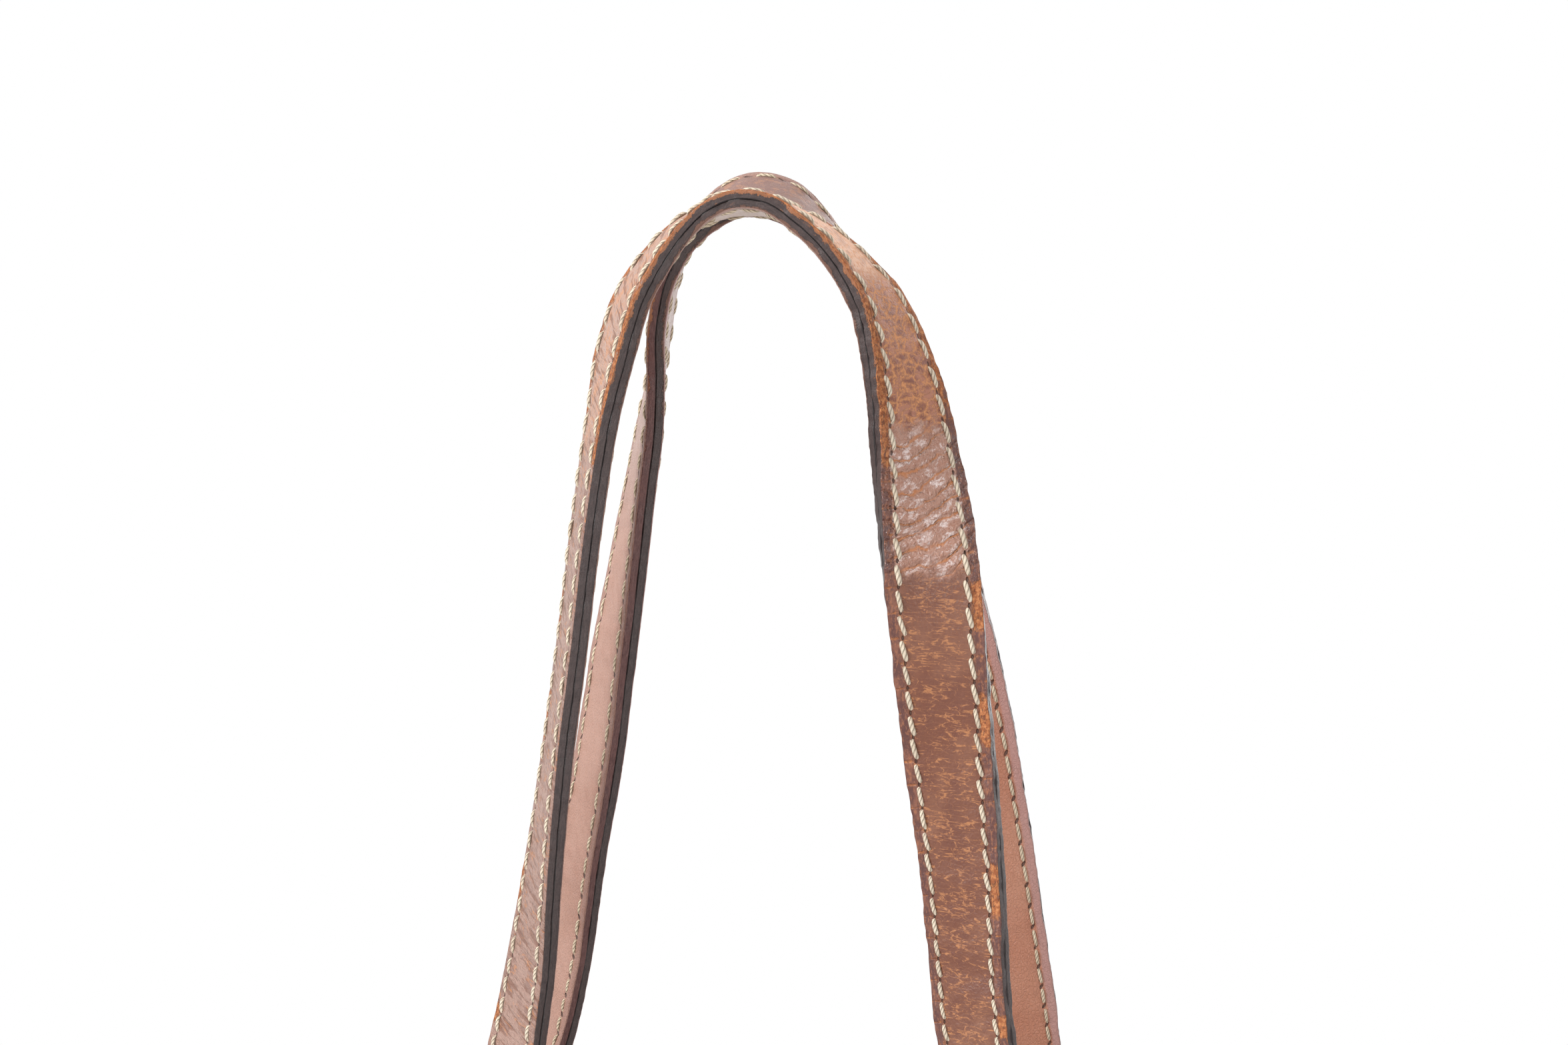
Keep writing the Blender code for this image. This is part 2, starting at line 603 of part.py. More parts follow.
def build_outer_layer(name, strap, parent):
    """Outer layer: over the handle, round each ring's upper bar and turned back inside."""
    last = len(strap.centre) - 1
    layer = STRAP_LAYER * STRAP_END_SHARE
    loop = RING_BAR_RADIUS + GAP + layer / 2
    rest = (STRAP_LAYER * strap.scale + GAP) / 2
    flare_run = 0.010
    flare = np.clip(1.0 - np.minimum(strap.run, strap.run[-1] - strap.run) / flare_run, 0.0, 1.0)
    flare = flare * flare * (3 - 2 * flare)
    main_offset = rest + (loop - strap.bar_offset - rest) * flare
    angle = np.linspace(0.0, math.pi, LOOP_STEPS + 1)[1:]
    inner = STRAP_LAYER * strap.scale
    settled = -1.5 * (GAP + inner)
    part = np.clip(strap.run / TAIL_SETTLE, 0.0, 1.0)
    part = part * part * (3 - 2 * part)
    tail_count = int(np.sum(strap.run <= TURN_BACK))

    def end(bar_index, sign):
        """Places, offsets and stations of one loop and tail, from the bar outwards."""
        tail_index = bar_index + sign * np.arange(1, tail_count)
        tail_part = part[1:tail_count]
        tail = ((-strap.bar_offset - loop) * (1 - tail_part) + settled[tail_index] * tail_part)
        places = np.concatenate([-loop * np.sin(angle), np.zeros(tail_count - 1)])
        offsets = np.concatenate([loop * np.cos(angle) - strap.bar_offset, tail])
        index = np.concatenate([np.full(len(angle), bar_index), tail_index])
        return places * sign, offsets, index

    left_places, left_offsets, left_index = end(0, 1)
    right_places, right_offsets, right_index = end(last, -1)
    index = np.concatenate([left_index[::-1], np.arange(last + 1), right_index])
    places = np.concatenate([left_places[::-1], np.zeros(last + 1), right_places])
    offsets = np.concatenate([left_offsets[::-1], main_offset, right_offsets])
    rings = strap.rings(places, offsets, index, strap.out[index], strap.along[index])
    back = set(range(len(left_index))) | set(range(len(index) - len(right_index) - 1, len(index)))
    loft(name, rings, "brown_leather", parent, tuple(parent.location), back=back)


def build_inner_layer(name, strap, parent):
    """Inner layer: under the outer one, ending just short of each ring."""
    far = strap.run[-1] - INNER_LAYER_START
    keep = np.where((strap.run > INNER_LAYER_START) & (strap.run < far))[0]
    offsets = -(STRAP_LAYER * strap.scale[keep] + GAP) / 2
    rings = strap.rings(np.zeros(len(keep)), offsets, keep, strap.out[keep], strap.along[keep])
    loft(name, rings, "tan_leather", parent, tuple(parent.location))


def build_handle(label, way, side, top_lift):
    """Rings, joints and both layers of one handle."""
    ring_axis = joint_frame(f"{label}_ring_axis", LOWER_BAR_HEIGHT, side * bar_place())
    for hand_name, hand in (("left", -1), ("right", 1)):
        build_ring(f"{label}_ring_{hand_name}", hand, side, ring_axis)
        build_chape(f"{label}_chape_{hand_name}", hand, side)
    bar_y, bar_z = upper_bar(side)
    handle_axis = joint_frame(f"{label}_handle_axis", bar_z, bar_y)
    strap = Strap(way, side, top_lift)
    build_outer_layer(f"{label}_handle_outer_layer", strap, handle_axis)
    build_inner_layer(f"{label}_handle_inner_layer", strap, handle_axis)


def main():
    """Build the whole bag."""
    clear_scene()
    front_grid = build_panel("front_panel", -1.0)
    rear_grid = build_panel("rear_panel", 1.0)
    build_base(front_grid, rear_grid)
    build_gusset("left_gusset", -1.0)
    build_gusset("right_gusset", 1.0)
    build_board()
    build_facing("front_facing", front_grid, -1.0)
    build_facing("rear_facing", rear_grid, 1.0)
    build_pocket(rear_grid)
    build_snap("snap_socket", -1.0)
    build_snap("snap_stud", 1.0)
    build_handle("front", FRONT_WAY, -1.0, 0.0)
    build_handle("rear", REAR_WAY, 1.0, REAR_TOP_ABOVE_FRONT)


main()
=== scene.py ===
"""Looks of the worn leather tote bag: a detailed piece for every CAD solid but the board.

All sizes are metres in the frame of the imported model: +Z up, the front panel faces -Y, the origin
is the middle of the base. The handles are drawn up and lean together over the mouth.
"""
from __future__ import annotations

import enum
import logging
import math
from collections.abc import Callable, Sequence
from dataclasses import dataclass, field
from functools import cached_property
from typing import Any, ClassVar

import bpy
import numpy as np
from mathutils import Matrix

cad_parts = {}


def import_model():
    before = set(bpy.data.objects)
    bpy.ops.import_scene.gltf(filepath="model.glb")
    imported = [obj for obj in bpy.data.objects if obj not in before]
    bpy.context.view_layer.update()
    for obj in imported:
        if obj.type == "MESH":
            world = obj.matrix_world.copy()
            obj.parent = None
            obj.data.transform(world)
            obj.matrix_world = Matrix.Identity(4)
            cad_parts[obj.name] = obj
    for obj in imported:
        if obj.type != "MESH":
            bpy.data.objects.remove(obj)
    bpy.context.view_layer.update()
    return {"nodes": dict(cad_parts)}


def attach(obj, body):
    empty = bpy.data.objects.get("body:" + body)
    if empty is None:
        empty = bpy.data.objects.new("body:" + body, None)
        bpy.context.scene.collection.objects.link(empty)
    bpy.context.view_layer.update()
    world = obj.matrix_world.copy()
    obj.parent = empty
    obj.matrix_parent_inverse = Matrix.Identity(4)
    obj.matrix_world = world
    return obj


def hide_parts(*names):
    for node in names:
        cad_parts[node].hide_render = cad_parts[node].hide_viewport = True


LOG = logging.getLogger("tote")
Array = np.ndarray
Colour = tuple[float, float, float]
Object = bpy.types.Object
Material = bpy.types.Material
Station = tuple[float, float, float, float]

# Measures that several pieces share; a bar has a distance from the middle plane and a height.
GAP = 0.0003
FACING_LEATHER = 0.0018
POCKET_LEATHER = 0.0016
HALF_STRAP = 0.0125
STITCH_INSET = 0.72
STITCH_PITCH = 0.0059
STITCH_SIDES = 8
WALL_ROWS = 130
THREAD_SINK = 0.0001
RING_ANCHOR = 0.071
RING_LEAN = math.radians(18.0)
BAR_RADIUS = 0.0022
LOWER_BAR = (0.0412814, 0.2935)
UPPER_BAR = (0.0355955, 0.3109994)
HANDLE_RISE = 0.2905
REAR_LIFT = 0.0048


class Face(enum.IntEnum):
    """Material slot of a face of a leather piece."""

    OUTER = 0
    EDGE = 1
    INNER = 2


class Half(enum.Enum):
    """Half of the bag, by the sign of one coordinate."""

    @property
    def label(self) -> str:
        """Lower-case name, as in the CAD nodes."""
        return self.name.lower()


class Side(Half):
    """Front or rear half: the sign of its Y."""

    FRONT = -1.0
    REAR = 1.0

    def pick(self, front: Any, rear: Any) -> Any:
        """One of two values, by side."""
        return front if self is Side.FRONT else rear


class Hand(Half):
    """Left or right half: the sign of its X."""

    LEFT = -1.0
    RIGHT = 1.0


# Numeric helpers


def unit(vectors: Array) -> Array:
    """Scale vectors to length one.

    Args:
        vectors: Array whose last axis holds the components.

    Returns:
        Array of the same shape; a zero vector stays as it is.
    """
    length = np.linalg.norm(vectors, axis=-1, keepdims=True)
    return vectors / np.where(length > 1e-12, length, 1.0)


def smooth(value: Array, low: float, high: float) -> Array:
    """Smooth step from 0 at low to 1 at high.

    Args:
        value: Values to map.
        low: Value that gives 0.
        high: Value that gives 1.

    Returns:
        Mapped values, 3 x squared less 2 x cubed of the clipped share.
    """
    part = np.clip((value - low) / (high - low), 0.0, 1.0)
    return part * part * (3.0 - 2.0 * part)


def bump(value: Array, centre: float, width: float) -> Array:
    """Bell curve: exp of minus the square of the distance over width.

    Args:
        value: Values to map.
        centre: Place of the peak.
        width: Distance at which the bell has fallen to 1/e.

    Returns:
        Values from 0 to 1.
    """
    return np.exp(-(((value - centre) / width) ** 2))


def stack(*components: Array | float) -> Array:
    """Points from their components, which are broadcast against each other."""
    return np.stack(np.broadcast_arrays(*components), -1)


def run_length(points: Array) -> Array:
    """Distance along a path at each of its points, from 0 on."""
    return np.concatenate([[0.0], np.cumsum(np.linalg.norm(np.diff(points, axis=0), axis=1))])


def read(places: Array, run: Array, values: Array) -> Array:
    """Rows of values between the samples of a run.

    Args:
        places: (M,) places to read at.
        run: (N,) rising places of the samples.
        values: (N, K) rows at the samples.

    Returns:
        (M, K) rows.
    """
    return np.stack([np.interp(places, run, column) for column in values.T], 1)


def ripple(u: Array, v: Array, scale: float, seed: int, stretch: float = 1.0) -> Array:
    """Soft uneven waves: the mean of nine sines with seeded directions, lengths and phases.

    Args:
        u: First coordinate in metres.
        v: Second coordinate in metres.
        scale: Mean wave length in metres.
        seed: Seed of the directions and phases.
        stretch: How much longer the waves are along v than along u.

    Returns:
        Values mostly between -1 and 1.
    """
    rng = np.random.default_rng(seed)
    total = np.zeros(np.broadcast(u, v).shape)
    for _ in range(9):
        angle, phase = rng.uniform(0.0, 2.0 * math.pi, 2)
        wave = 2.0 * math.pi / (scale * rng.uniform(0.6, 1.8))
        total += np.sin(wave * (u * math.cos(angle) + v * math.sin(angle) / stretch) + phase)
    return total / 4.5


# Mesh helpers


def link(name: str, data: Any) -> Object:
    """Make an object of the given data and put it in the scene.

    Args:
        name: Object name.
        data: Mesh, light or camera.

    Returns:
        The object.
    """
    obj = bpy.data.objects.new(name, data)
    bpy.context.scene.collection.objects.link(obj)
    return obj


def make_object(name: str, vertices: Array, quads: Array, slots: Array | None = None,
                **maps: Array) -> Object:
    """Make a mesh object from arrays, with smooth shading.

    Args:
        name: Object and mesh name.
        vertices: (N, 3) points in metres.
        quads: (M, 4) vertex numbers, faces out.
        slots: (M,) material slot of each quad.
        maps: (N, 2) coordinates by the name of their UV map, place or stitch.

    Returns:
        The linked object, at the origin, unrotated and unscaled.
    """
    mesh = bpy.data.meshes.new(name)
    mesh.vertices.add(len(vertices))
    mesh.vertices.foreach_set("co", np.asarray(vertices, np.float32).ravel())
    loops = np.asarray(quads, np.int32).ravel()
    mesh.loops.add(len(loops))
    mesh.loops.foreach_set("vertex_index", loops)
    mesh.polygons.add(len(quads))
    mesh.polygons.foreach_set("loop_start", np.arange(len(quads), dtype=np.int32) * 4)
    if slots is not None:
        mesh.polygons.foreach_set("material_index", np.asarray(slots, np.int32))
    mesh.update(calc_edges=True)
    for label, values in maps.items():
        layer = mesh.uv_layers.new(name=label)
        layer.data.foreach_set("uv", np.asarray(values, np.float32)[loops].ravel())
    mesh.validate()
    mesh.shade_smooth()
    return link(name, mesh)


def grid_quads(rows: int, columns: int, wrap_columns: bool = False,
               wrap_rows: bool = False) -> Array:
    """Quads of a grid of points numbered row by row.

    Args:
        rows: Number of rows.
        columns: Number of columns.
        wrap_columns: Whether the last column joins the first.
        wrap_rows: Whether the last row joins the first.

    Returns:
        (M, 4) vertex numbers.
    """
    row = np.arange(rows if wrap_rows else rows - 1)[:, None]
    column = np.arange(columns if wrap_columns else columns - 1)[None, :]
    after_row, after_column = (row + 1) % rows, (column + 1) % columns
    corners = (row * columns + column, after_row * columns + column,
               after_row * columns + after_column, row * columns + after_column)
    return stack(*corners).reshape(-1, 4)


def grid_normals(grid: Array, away: Sequence[float] | None = None) -> Array:
    """Unit normals of a grid: the cross product of its finite differences.

    Args:
        grid: (R, C, 3) points.
        away: Direction that the mean normal should agree with, if any.

    Returns:
        (R, C, 3) normals.
    """
    normal = unit(np.cross(np.gradient(grid, axis=0), np.gradient(grid, axis=1)))
    if away is not None and np.sum(normal.mean((0, 1)) * away) < 0:
        normal = -normal
    return normal


def shell(name: str, outer: Array, thickness: float, lift: Array | None = None,
          faces_out: Sequence[float] | None = None) -> Object:
    """Close a leather sheet: outer face, inner face and a rounded cut edge round both.

    The inner face is the outer one moved by the thickness against its normal. The edge strip is
    a half round: two middle rows stand out from the sheet's border by 0.32 of the thickness. The
    UV map has the mean lengths across and down the sheet.

    Args:
        name: Object name.
        outer: (R, C, 3) points of the outer face.
        thickness: Leather thickness in metres.
        lift: (R, C) extra height of the outer face, in metres.
        faces_out: A direction that the outer face's mean normal should agree with.

    Returns:
        The object, with slots Face.OUTER, Face.EDGE and Face.INNER used by its faces.
    """
    down, across = (np.linalg.norm(np.diff(outer, axis=axis), axis=2).mean(1 - axis)
                    for axis in (0, 1))
    uv = np.stack(np.meshgrid(*(np.concatenate([[0.0], np.cumsum(steps)])
                                for steps in (across, down))), -1)
    normal = grid_normals(outer)
    if faces_out is not None and np.sum(normal.mean((0, 1)) * faces_out) < 0:
        outer, uv, normal = outer[:, ::-1], uv[:, ::-1], -normal[:, ::-1]
        lift = None if lift is None else lift[:, ::-1]
    inner = outer - normal * thickness
    if lift is not None:
        outer = outer + normal * lift[..., None]
    rows, columns = outer.shape[:2]
    count = rows * columns
    number = np.arange(count).reshape(rows, columns)
    border = np.concatenate([number[0, :-1], number[:-1, -1], number[-1, :0:-1],
                             number[:0:-1, 0]])
    outer, inner, normal, uv = (part.reshape(count, -1) for part in (outer, inner, normal, uv))
    rim, rim_normal = outer[border], normal[border]
    forward = unit(np.roll(rim, -1, axis=0) - np.roll(rim, 1, axis=0))
    away = unit(np.cross(forward, rim_normal))
    if np.mean(np.sum(away * (rim - rim.mean(0)), axis=1)) < 0:
        away = -away
    middle = [rim + (inner[border] - rim) * share + away * thickness * 0.32
              for share in (0.28, 0.72)]
    vertices = np.concatenate([outer, inner, *middle])
    top = grid_quads(rows, columns)
    edge = np.arange(len(border))
    chain = [border, 2 * count + edge, 2 * count + len(border) + edge, border + count]
    strip = np.concatenate([np.stack([low, np.roll(low, -1), np.roll(high, -1), high], -1)
                            for low, high in zip(chain, chain[1:])])
    sample = vertices[strip[0]]
    turn = np.cross(sample[1] - sample[0], sample[2] - sample[0])
    if np.sum(turn * (away[0] + rim_normal[0] * 0.5)) < 0:
        strip = strip[:, ::-1]
    slots = np.repeat([Face.OUTER, Face.INNER, Face.EDGE], [len(top), len(top), len(strip)])
    return make_object(name, vertices, np.concatenate([top, top[:, ::-1] + count, strip]),
                       slots, place=np.concatenate([uv, uv, uv[border], uv[border]]))


def tube(name: str, rings: Array, slots: Array, caps: bool = True, **maps: Array) -> Object:
    """Skin a row of closed rings of points, with the ends drawn shut.

    Args:
        name: Object name.
        rings: (R, C, 3) points.
        slots: (C,) material slot of the strip from each point of a ring to the next.
        caps: Whether the ends are closed; a row that meets itself has none.
        maps: (R, C, 2) coordinates by the name of their UV map.

    Returns:
        The object, its faces turned outwards.
    """
    if caps:
        first, last = (np.broadcast_to(ring.mean(0), (1, *ring.shape)) for ring in rings[[0, -1]])
        rings = np.concatenate([first, rings, last])
        maps = {label: np.concatenate([part[:1], part, part[-1:]])
                for label, part in maps.items()}
    rows, columns = rings.shape[:2]
    quads = grid_quads(rows, columns, wrap_columns=True, wrap_rows=not caps)
    face_slots = np.tile(slots, rows - 1 if caps else rows)
    points = rings.reshape(-1, 3)
    corner = points[quads]
    volume = np.sum(np.cross(corner[:, 0], corner[:, 1]) * corner[:, 2])
    volume += np.sum(np.cross(corner[:, 0], corner[:, 2]) * corner[:, 3])
    if volume < 0:
        quads = quads[:, ::-1]
    return make_object(name, points, quads, face_slots,
                       **{label: part.reshape(-1, 2) for label, part in maps.items()})


def put(obj: Object, body: str, node: str) -> None:
    """Put a piece on a body, in place of a CAD node.

    Args:
        obj: Piece.
        body: CAD body that it rides on.
        node: CAD node that it replaces.
    """
    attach(obj, body)
    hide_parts(node)
    LOG.info("%s: %d faces", obj.name, len(obj.data.polygons))


# Shader helper


def operator(kind: str, turned: bool = False) -> Callable[..., "Signal"]:
    """Method that adds a math node to its shader.

    Args:
        kind: Operation of the node.
        turned: Whether the other value comes first.

    Returns:
        The method.
    """
    def method(self: "Signal", other: "Value" = 0.0) -> "Signal":
        """Output of the new node."""
        return self.shader.math(kind, *((other, self) if turned else (self, other)))

    return method


@dataclass(frozen=True, eq=False)
class Signal:
    """Output of a shader node; the usual signs for arithmetic add a math node.

    Args:
        shader: Shader that the node is in.
        socket: Output socket of the node.
    """

    shader: "Shader"
    socket: bpy.types.NodeSocket

    __add__ = __radd__ = operator("ADD")
    __mul__ = __rmul__ = operator("MULTIPLY")
    __sub__, __rsub__ = operator("SUBTRACT"), operator("SUBTRACT", turned=True)
    __truediv__, __pow__ = operator("DIVIDE"), operator("POWER")
    __abs__ = operator("ABSOLUTE")

    def clamped(self) -> "Signal":
        """The same output, kept between 0 and 1 by its own node."""
        self.socket.node.use_clamp = True
        return self


Value = Signal | float
Layer = tuple[Value, Signal | Colour]


class Shader:
    """Node tree of a material or a world, written as short calls.

    Each call adds one node and returns its output, so that formulas nest.
    """

    def __init__(self, owner: Material | bpy.types.World) -> None:
        """Take a node tree into use.

        Args:
            owner: Material or world that the tree is of.
        """
        owner.use_nodes = True
        self.tree = owner.node_tree

    @property
    def bsdf(self) -> bpy.types.Node:
        """Principled shader of a material."""
        return self.tree.nodes["Principled BSDF"]

    def node(self, kind: str, inputs: dict[str | int, object] | None = None,
             output: str | int = 0, **settings: object) -> Signal:
        """Add a node, feed it and return one of its outputs.

        Args:
            kind: Type of the node, without its leading ShaderNode.
            inputs: What goes into its sockets, by name or number.
            output: Name or number of the output.
            settings: Attributes of the node.

        Returns:
            The output.
        """
        node = self.tree.nodes.new(f"ShaderNode{kind}")
        for name, value in settings.items():
            setattr(node, name, value)
        for name, value in (inputs or {}).items():
            self.feed(node.inputs[name], value)
        return Signal(self, node.outputs[output])

    def feed(self, socket: bpy.types.NodeSocket, value: object) -> None:
        """Link a socket to an output, or set its number or colour.

        Args:
            socket: Input socket.
            value: Output, number or tuple.
        """
        if isinstance(value, Signal):
            self.tree.links.new(value.socket, socket)
        elif isinstance(value, tuple) and len(value) == 3 and socket.type == "RGBA":
            socket.default_value = (*value, 1.0)
        else:
            socket.default_value = value

    @cached_property
    def where(self) -> Signal:
        """Object coordinates, which are metres in the bag's frame."""
        return self.node("TexCoord", output="Object")

    @cached_property
    def place(self) -> Signal:
        """Surface coordinates: along and across in metres, or by stitch and turn on thread."""
        return self.node("UVMap", uv_map="place")

    @cached_property
    def xyz(self) -> list[Signal]:
        """Object coordinates, one by one."""
        return self.split(self.where)

    @cached_property
    def run_width(self) -> list[Signal]:
        """Surface coordinates, one by one."""
        return self.split(self.place)[:2]

    @cached_property
    def stitch(self) -> list[Signal]:
        """Stitch count, and share of the half width."""
        return self.split(self.node("UVMap", uv_map="stitch"))[:2]

    def split(self, vector: Signal) -> list[Signal]:
        """The three components of a vector."""
        first = self.node("SeparateXYZ", {0: vector})
        return [Signal(self, socket) for socket in first.socket.node.outputs]

    def math(self, kind: str, first: Value, second: Value = 0.0) -> Signal:
        """One math operation on two numbers."""
        return self.node("Math", {0: first, 1: second}, operation=kind)

    def larger(self, first: Value, second: Value) -> Signal:
        """The larger of two numbers."""
        return self.math("MAXIMUM", first, second)

    def part(self, value: Signal) -> Signal:
        """Part of a number past the whole number below it, less a half."""
        return self.math("FRACT", value) - 0.5

    def radius(self, first: Signal, second: Signal) -> Signal:
        """Distance of two components from zero."""
        return self.math("SQRT", first ** 2.0 + second ** 2.0)

    def scale(self, vector: Signal, x: float, y: float, z: float = 1.0) -> Signal:
        """Multiply a vector by three numbers."""
        return self.node("VectorMath", {0: vector, 1: (x, y, z)}, operation="MULTIPLY")

    def noise(self, vector: Signal, scale: float, detail: float = 3.0,
              roughness: float = 0.55) -> Signal:
        """Noise from 0 to 1."""
        return self.node("TexNoise", {"Vector": vector, "Scale": scale, "Detail": detail,
                                      "Roughness": roughness}, "Fac")

    def cells(self, vector: Signal, scale: float, feature: str = "DISTANCE_TO_EDGE") -> Signal:
        """Distance to the edges, or to the centres, of random cells."""
        return self.node("TexVoronoi", {"Vector": vector, "Scale": scale}, "Distance",
                         feature=feature)

    def warp(self, vector: Signal, scale: float, amount: float) -> Signal:
        """A vector moved about by noise of the given scale and amount.

        Args:
            vector: Vector to move.
            scale: Scale of the noise.
            amount: Distance that noise of 1 moves it, along each axis.

        Returns:
            The moved vector.
        """
        push = self.node("TexNoise", {"Vector": vector, "Scale": scale, "Detail": 2.0}, "Color")
        return self.node("VectorMath", {0: push, 1: (amount, amount, amount), 2: vector},
                         operation="MULTIPLY_ADD")

    def slanted(self, slant: float, squeeze: float) -> Signal:
        """Surface coordinates in which waves run across a strap, slanted by slant.

        Along is run plus slant times the width, and across is the width times squeeze.
        """
        u, v = self.run_width
        return self.node("CombineXYZ", {0: u + v * slant, 1: v * squeeze})

    def ease(self, value: Value, low: float, high: float, start: float = 0.0,
             end: float = 1.0) -> Signal:
        """Smooth step of a value from low to high, giving start to end."""
        return self.node("MapRange", {0: value, 1: low, 2: high, 3: start, 4: end},
                         interpolation_type="SMOOTHSTEP")

    def fall(self, value: Value, low: float, high: float) -> Signal:
        """Smooth step from 1 at low to 0 at high."""
        return self.ease(value, low, high, 1.0, 0.0)

    def band(self, value: Signal, low: float, high: float, soft: float) -> Signal:
        """1 where a value lies between two others, with soft ends."""
        return (self.ease(value, low - soft, low + soft)
                * self.fall(value, high - soft, high + soft))

    def lines(self, vector: Signal, scale: float, width: float) -> Signal:
        """1 on thin lines, which lie where noise crosses its middle."""
        return self.fall(abs(self.noise(vector, scale) - 0.5), 0.0, width)

    def holes(self, reach: float = 0.55, slant: float = 0.0) -> Signal:
        """Needle holes: ovals at whole numbers of the stitch coordinate, on both rows.

        Args:
            reach: Size of the ovals.
            slant: How much they lean along the seam.

        Returns:
            1 in the holes and 0 around them.
        """
        count, row = self.stitch
        along = self.part(count + 0.5)
        aside = (abs(row) - STITCH_INSET) * 12.5 + along * slant
        return self.fall(self.radius(along * 4.6, aside * 1.3), 0.45 * reach, reach)

    def mix(self, factor: Value, first: Signal | Colour, second: Signal | Colour) -> Signal:
        """Mix two colours.

        Args:
            factor: Share of the second colour.
            first: First colour.
            second: Second colour.

        Returns:
            The mixed colour.
        """
        node = self.node("Mix", data_type="RGBA", clamp_factor=True).socket.node
        first_socket, second_socket = (socket for socket in node.inputs if socket.type == "RGBA")
        for socket, value in ((node.inputs["Factor"], factor), (first_socket, first),
                              (second_socket, second)):
            self.feed(socket, value)
        return Signal(self, next(socket for socket in node.outputs if socket.type == "RGBA"))

    def layers(self, base: Signal | Colour, *layers: Layer) -> Signal:
        """Colours laid over a base one after another, each with its own cover from 0 to 1.

        Args:
            base: Colour at the bottom.
            layers: Cover and colour of each layer.

        Returns:
            The colour on top.
        """
        for cover, colour in layers:
            base = self.mix(cover, base, colour)
        return base

    def finish(self, colour: Signal | Colour, roughness: Value,
               relief: Sequence[tuple[Signal, float]] = (), **constants: float) -> None:
        """Set colour, roughness and relief, and constants straight on the shader's sockets.

        Args:
            colour: Base colour.
            roughness: Roughness.
            relief: Heights from 0 to 1, each with the depth in metres that it stands for.
            constants: Socket names with underscores, and their numbers.
        """
        self.feed(self.bsdf.inputs["Base Color"], colour)
        self.feed(self.bsdf.inputs["Roughness"], roughness)
        for name, value in constants.items():
            self.bsdf.inputs[name.replace("_", " ")].default_value = value
        normal: dict[str | int, object] = {}
        for height, depth in relief:
            bumps = {"Strength": 1.0, "Distance": depth, "Height": height, **normal}
            normal = {"Normal": self.node("Bump", bumps)}
        if normal:
            self.feed(self.bsdf.inputs["Normal"], normal["Normal"])


# Finishes


@dataclass(frozen=True)
class Finish:
    """A surface that can make its own material.

    Args:
        name: Material name.
        shader: Class of the shader that it is painted with.
    """

    name: str
    shader: ClassVar[type[Shader]] = Shader

    def build(self) -> Material:
        """Make the material.

        Returns:
            The material.
        """
        material = bpy.data.materials.new(self.name)
        self.paint(self.shader(material))
        return material

    def paint(self, s: Shader) -> None:
        """Give the shader its colour, roughness and relief."""
        raise NotImplementedError


class StrapShader(Shader):
    """Shader with the inputs that the kinds of wear on the front strap share."""

    @cached_property
    def right(self) -> Signal:
        """1 on the right leg and 0 on the left."""
        return self.ease(self.xyz[0], -0.006, 0.010)

    @cached_property
    def left(self) -> Signal:
        """1 on the left leg and 0 on the right."""
        return 1.0 - self.right

    @cached_property
    def mottle(self) -> Signal:
        """Blotches from 0 to 1."""
        return self.noise(self.warp(self.where, 120.0, 0.004), 260.0, 4.0, 0.62)

    @cached_property
    def fleck(self) -> Signal:
        """Fine specks from 0 to 1."""
        return self.noise(self.place, 900.0, 4.0, 0.65)

    @cached_property
    def ragged(self) -> Signal:
        """Height, made uneven by the blotches."""
        return self.xyz[2] + (self.mottle - 0.5) * 0.016

    @cached_property
    def across(self) -> Signal:
        """Place across the strap, -1 and 1 at its edges."""
        return self.run_width[1] / HALF_STRAP

    @cached_property
    def wrinkle(self) -> Signal:
        """Wrinkles across the strap, from 0 to 1."""
        return self.noise(self.slanted(0.32, 0.13), 620.0, 4.0, 0.62)


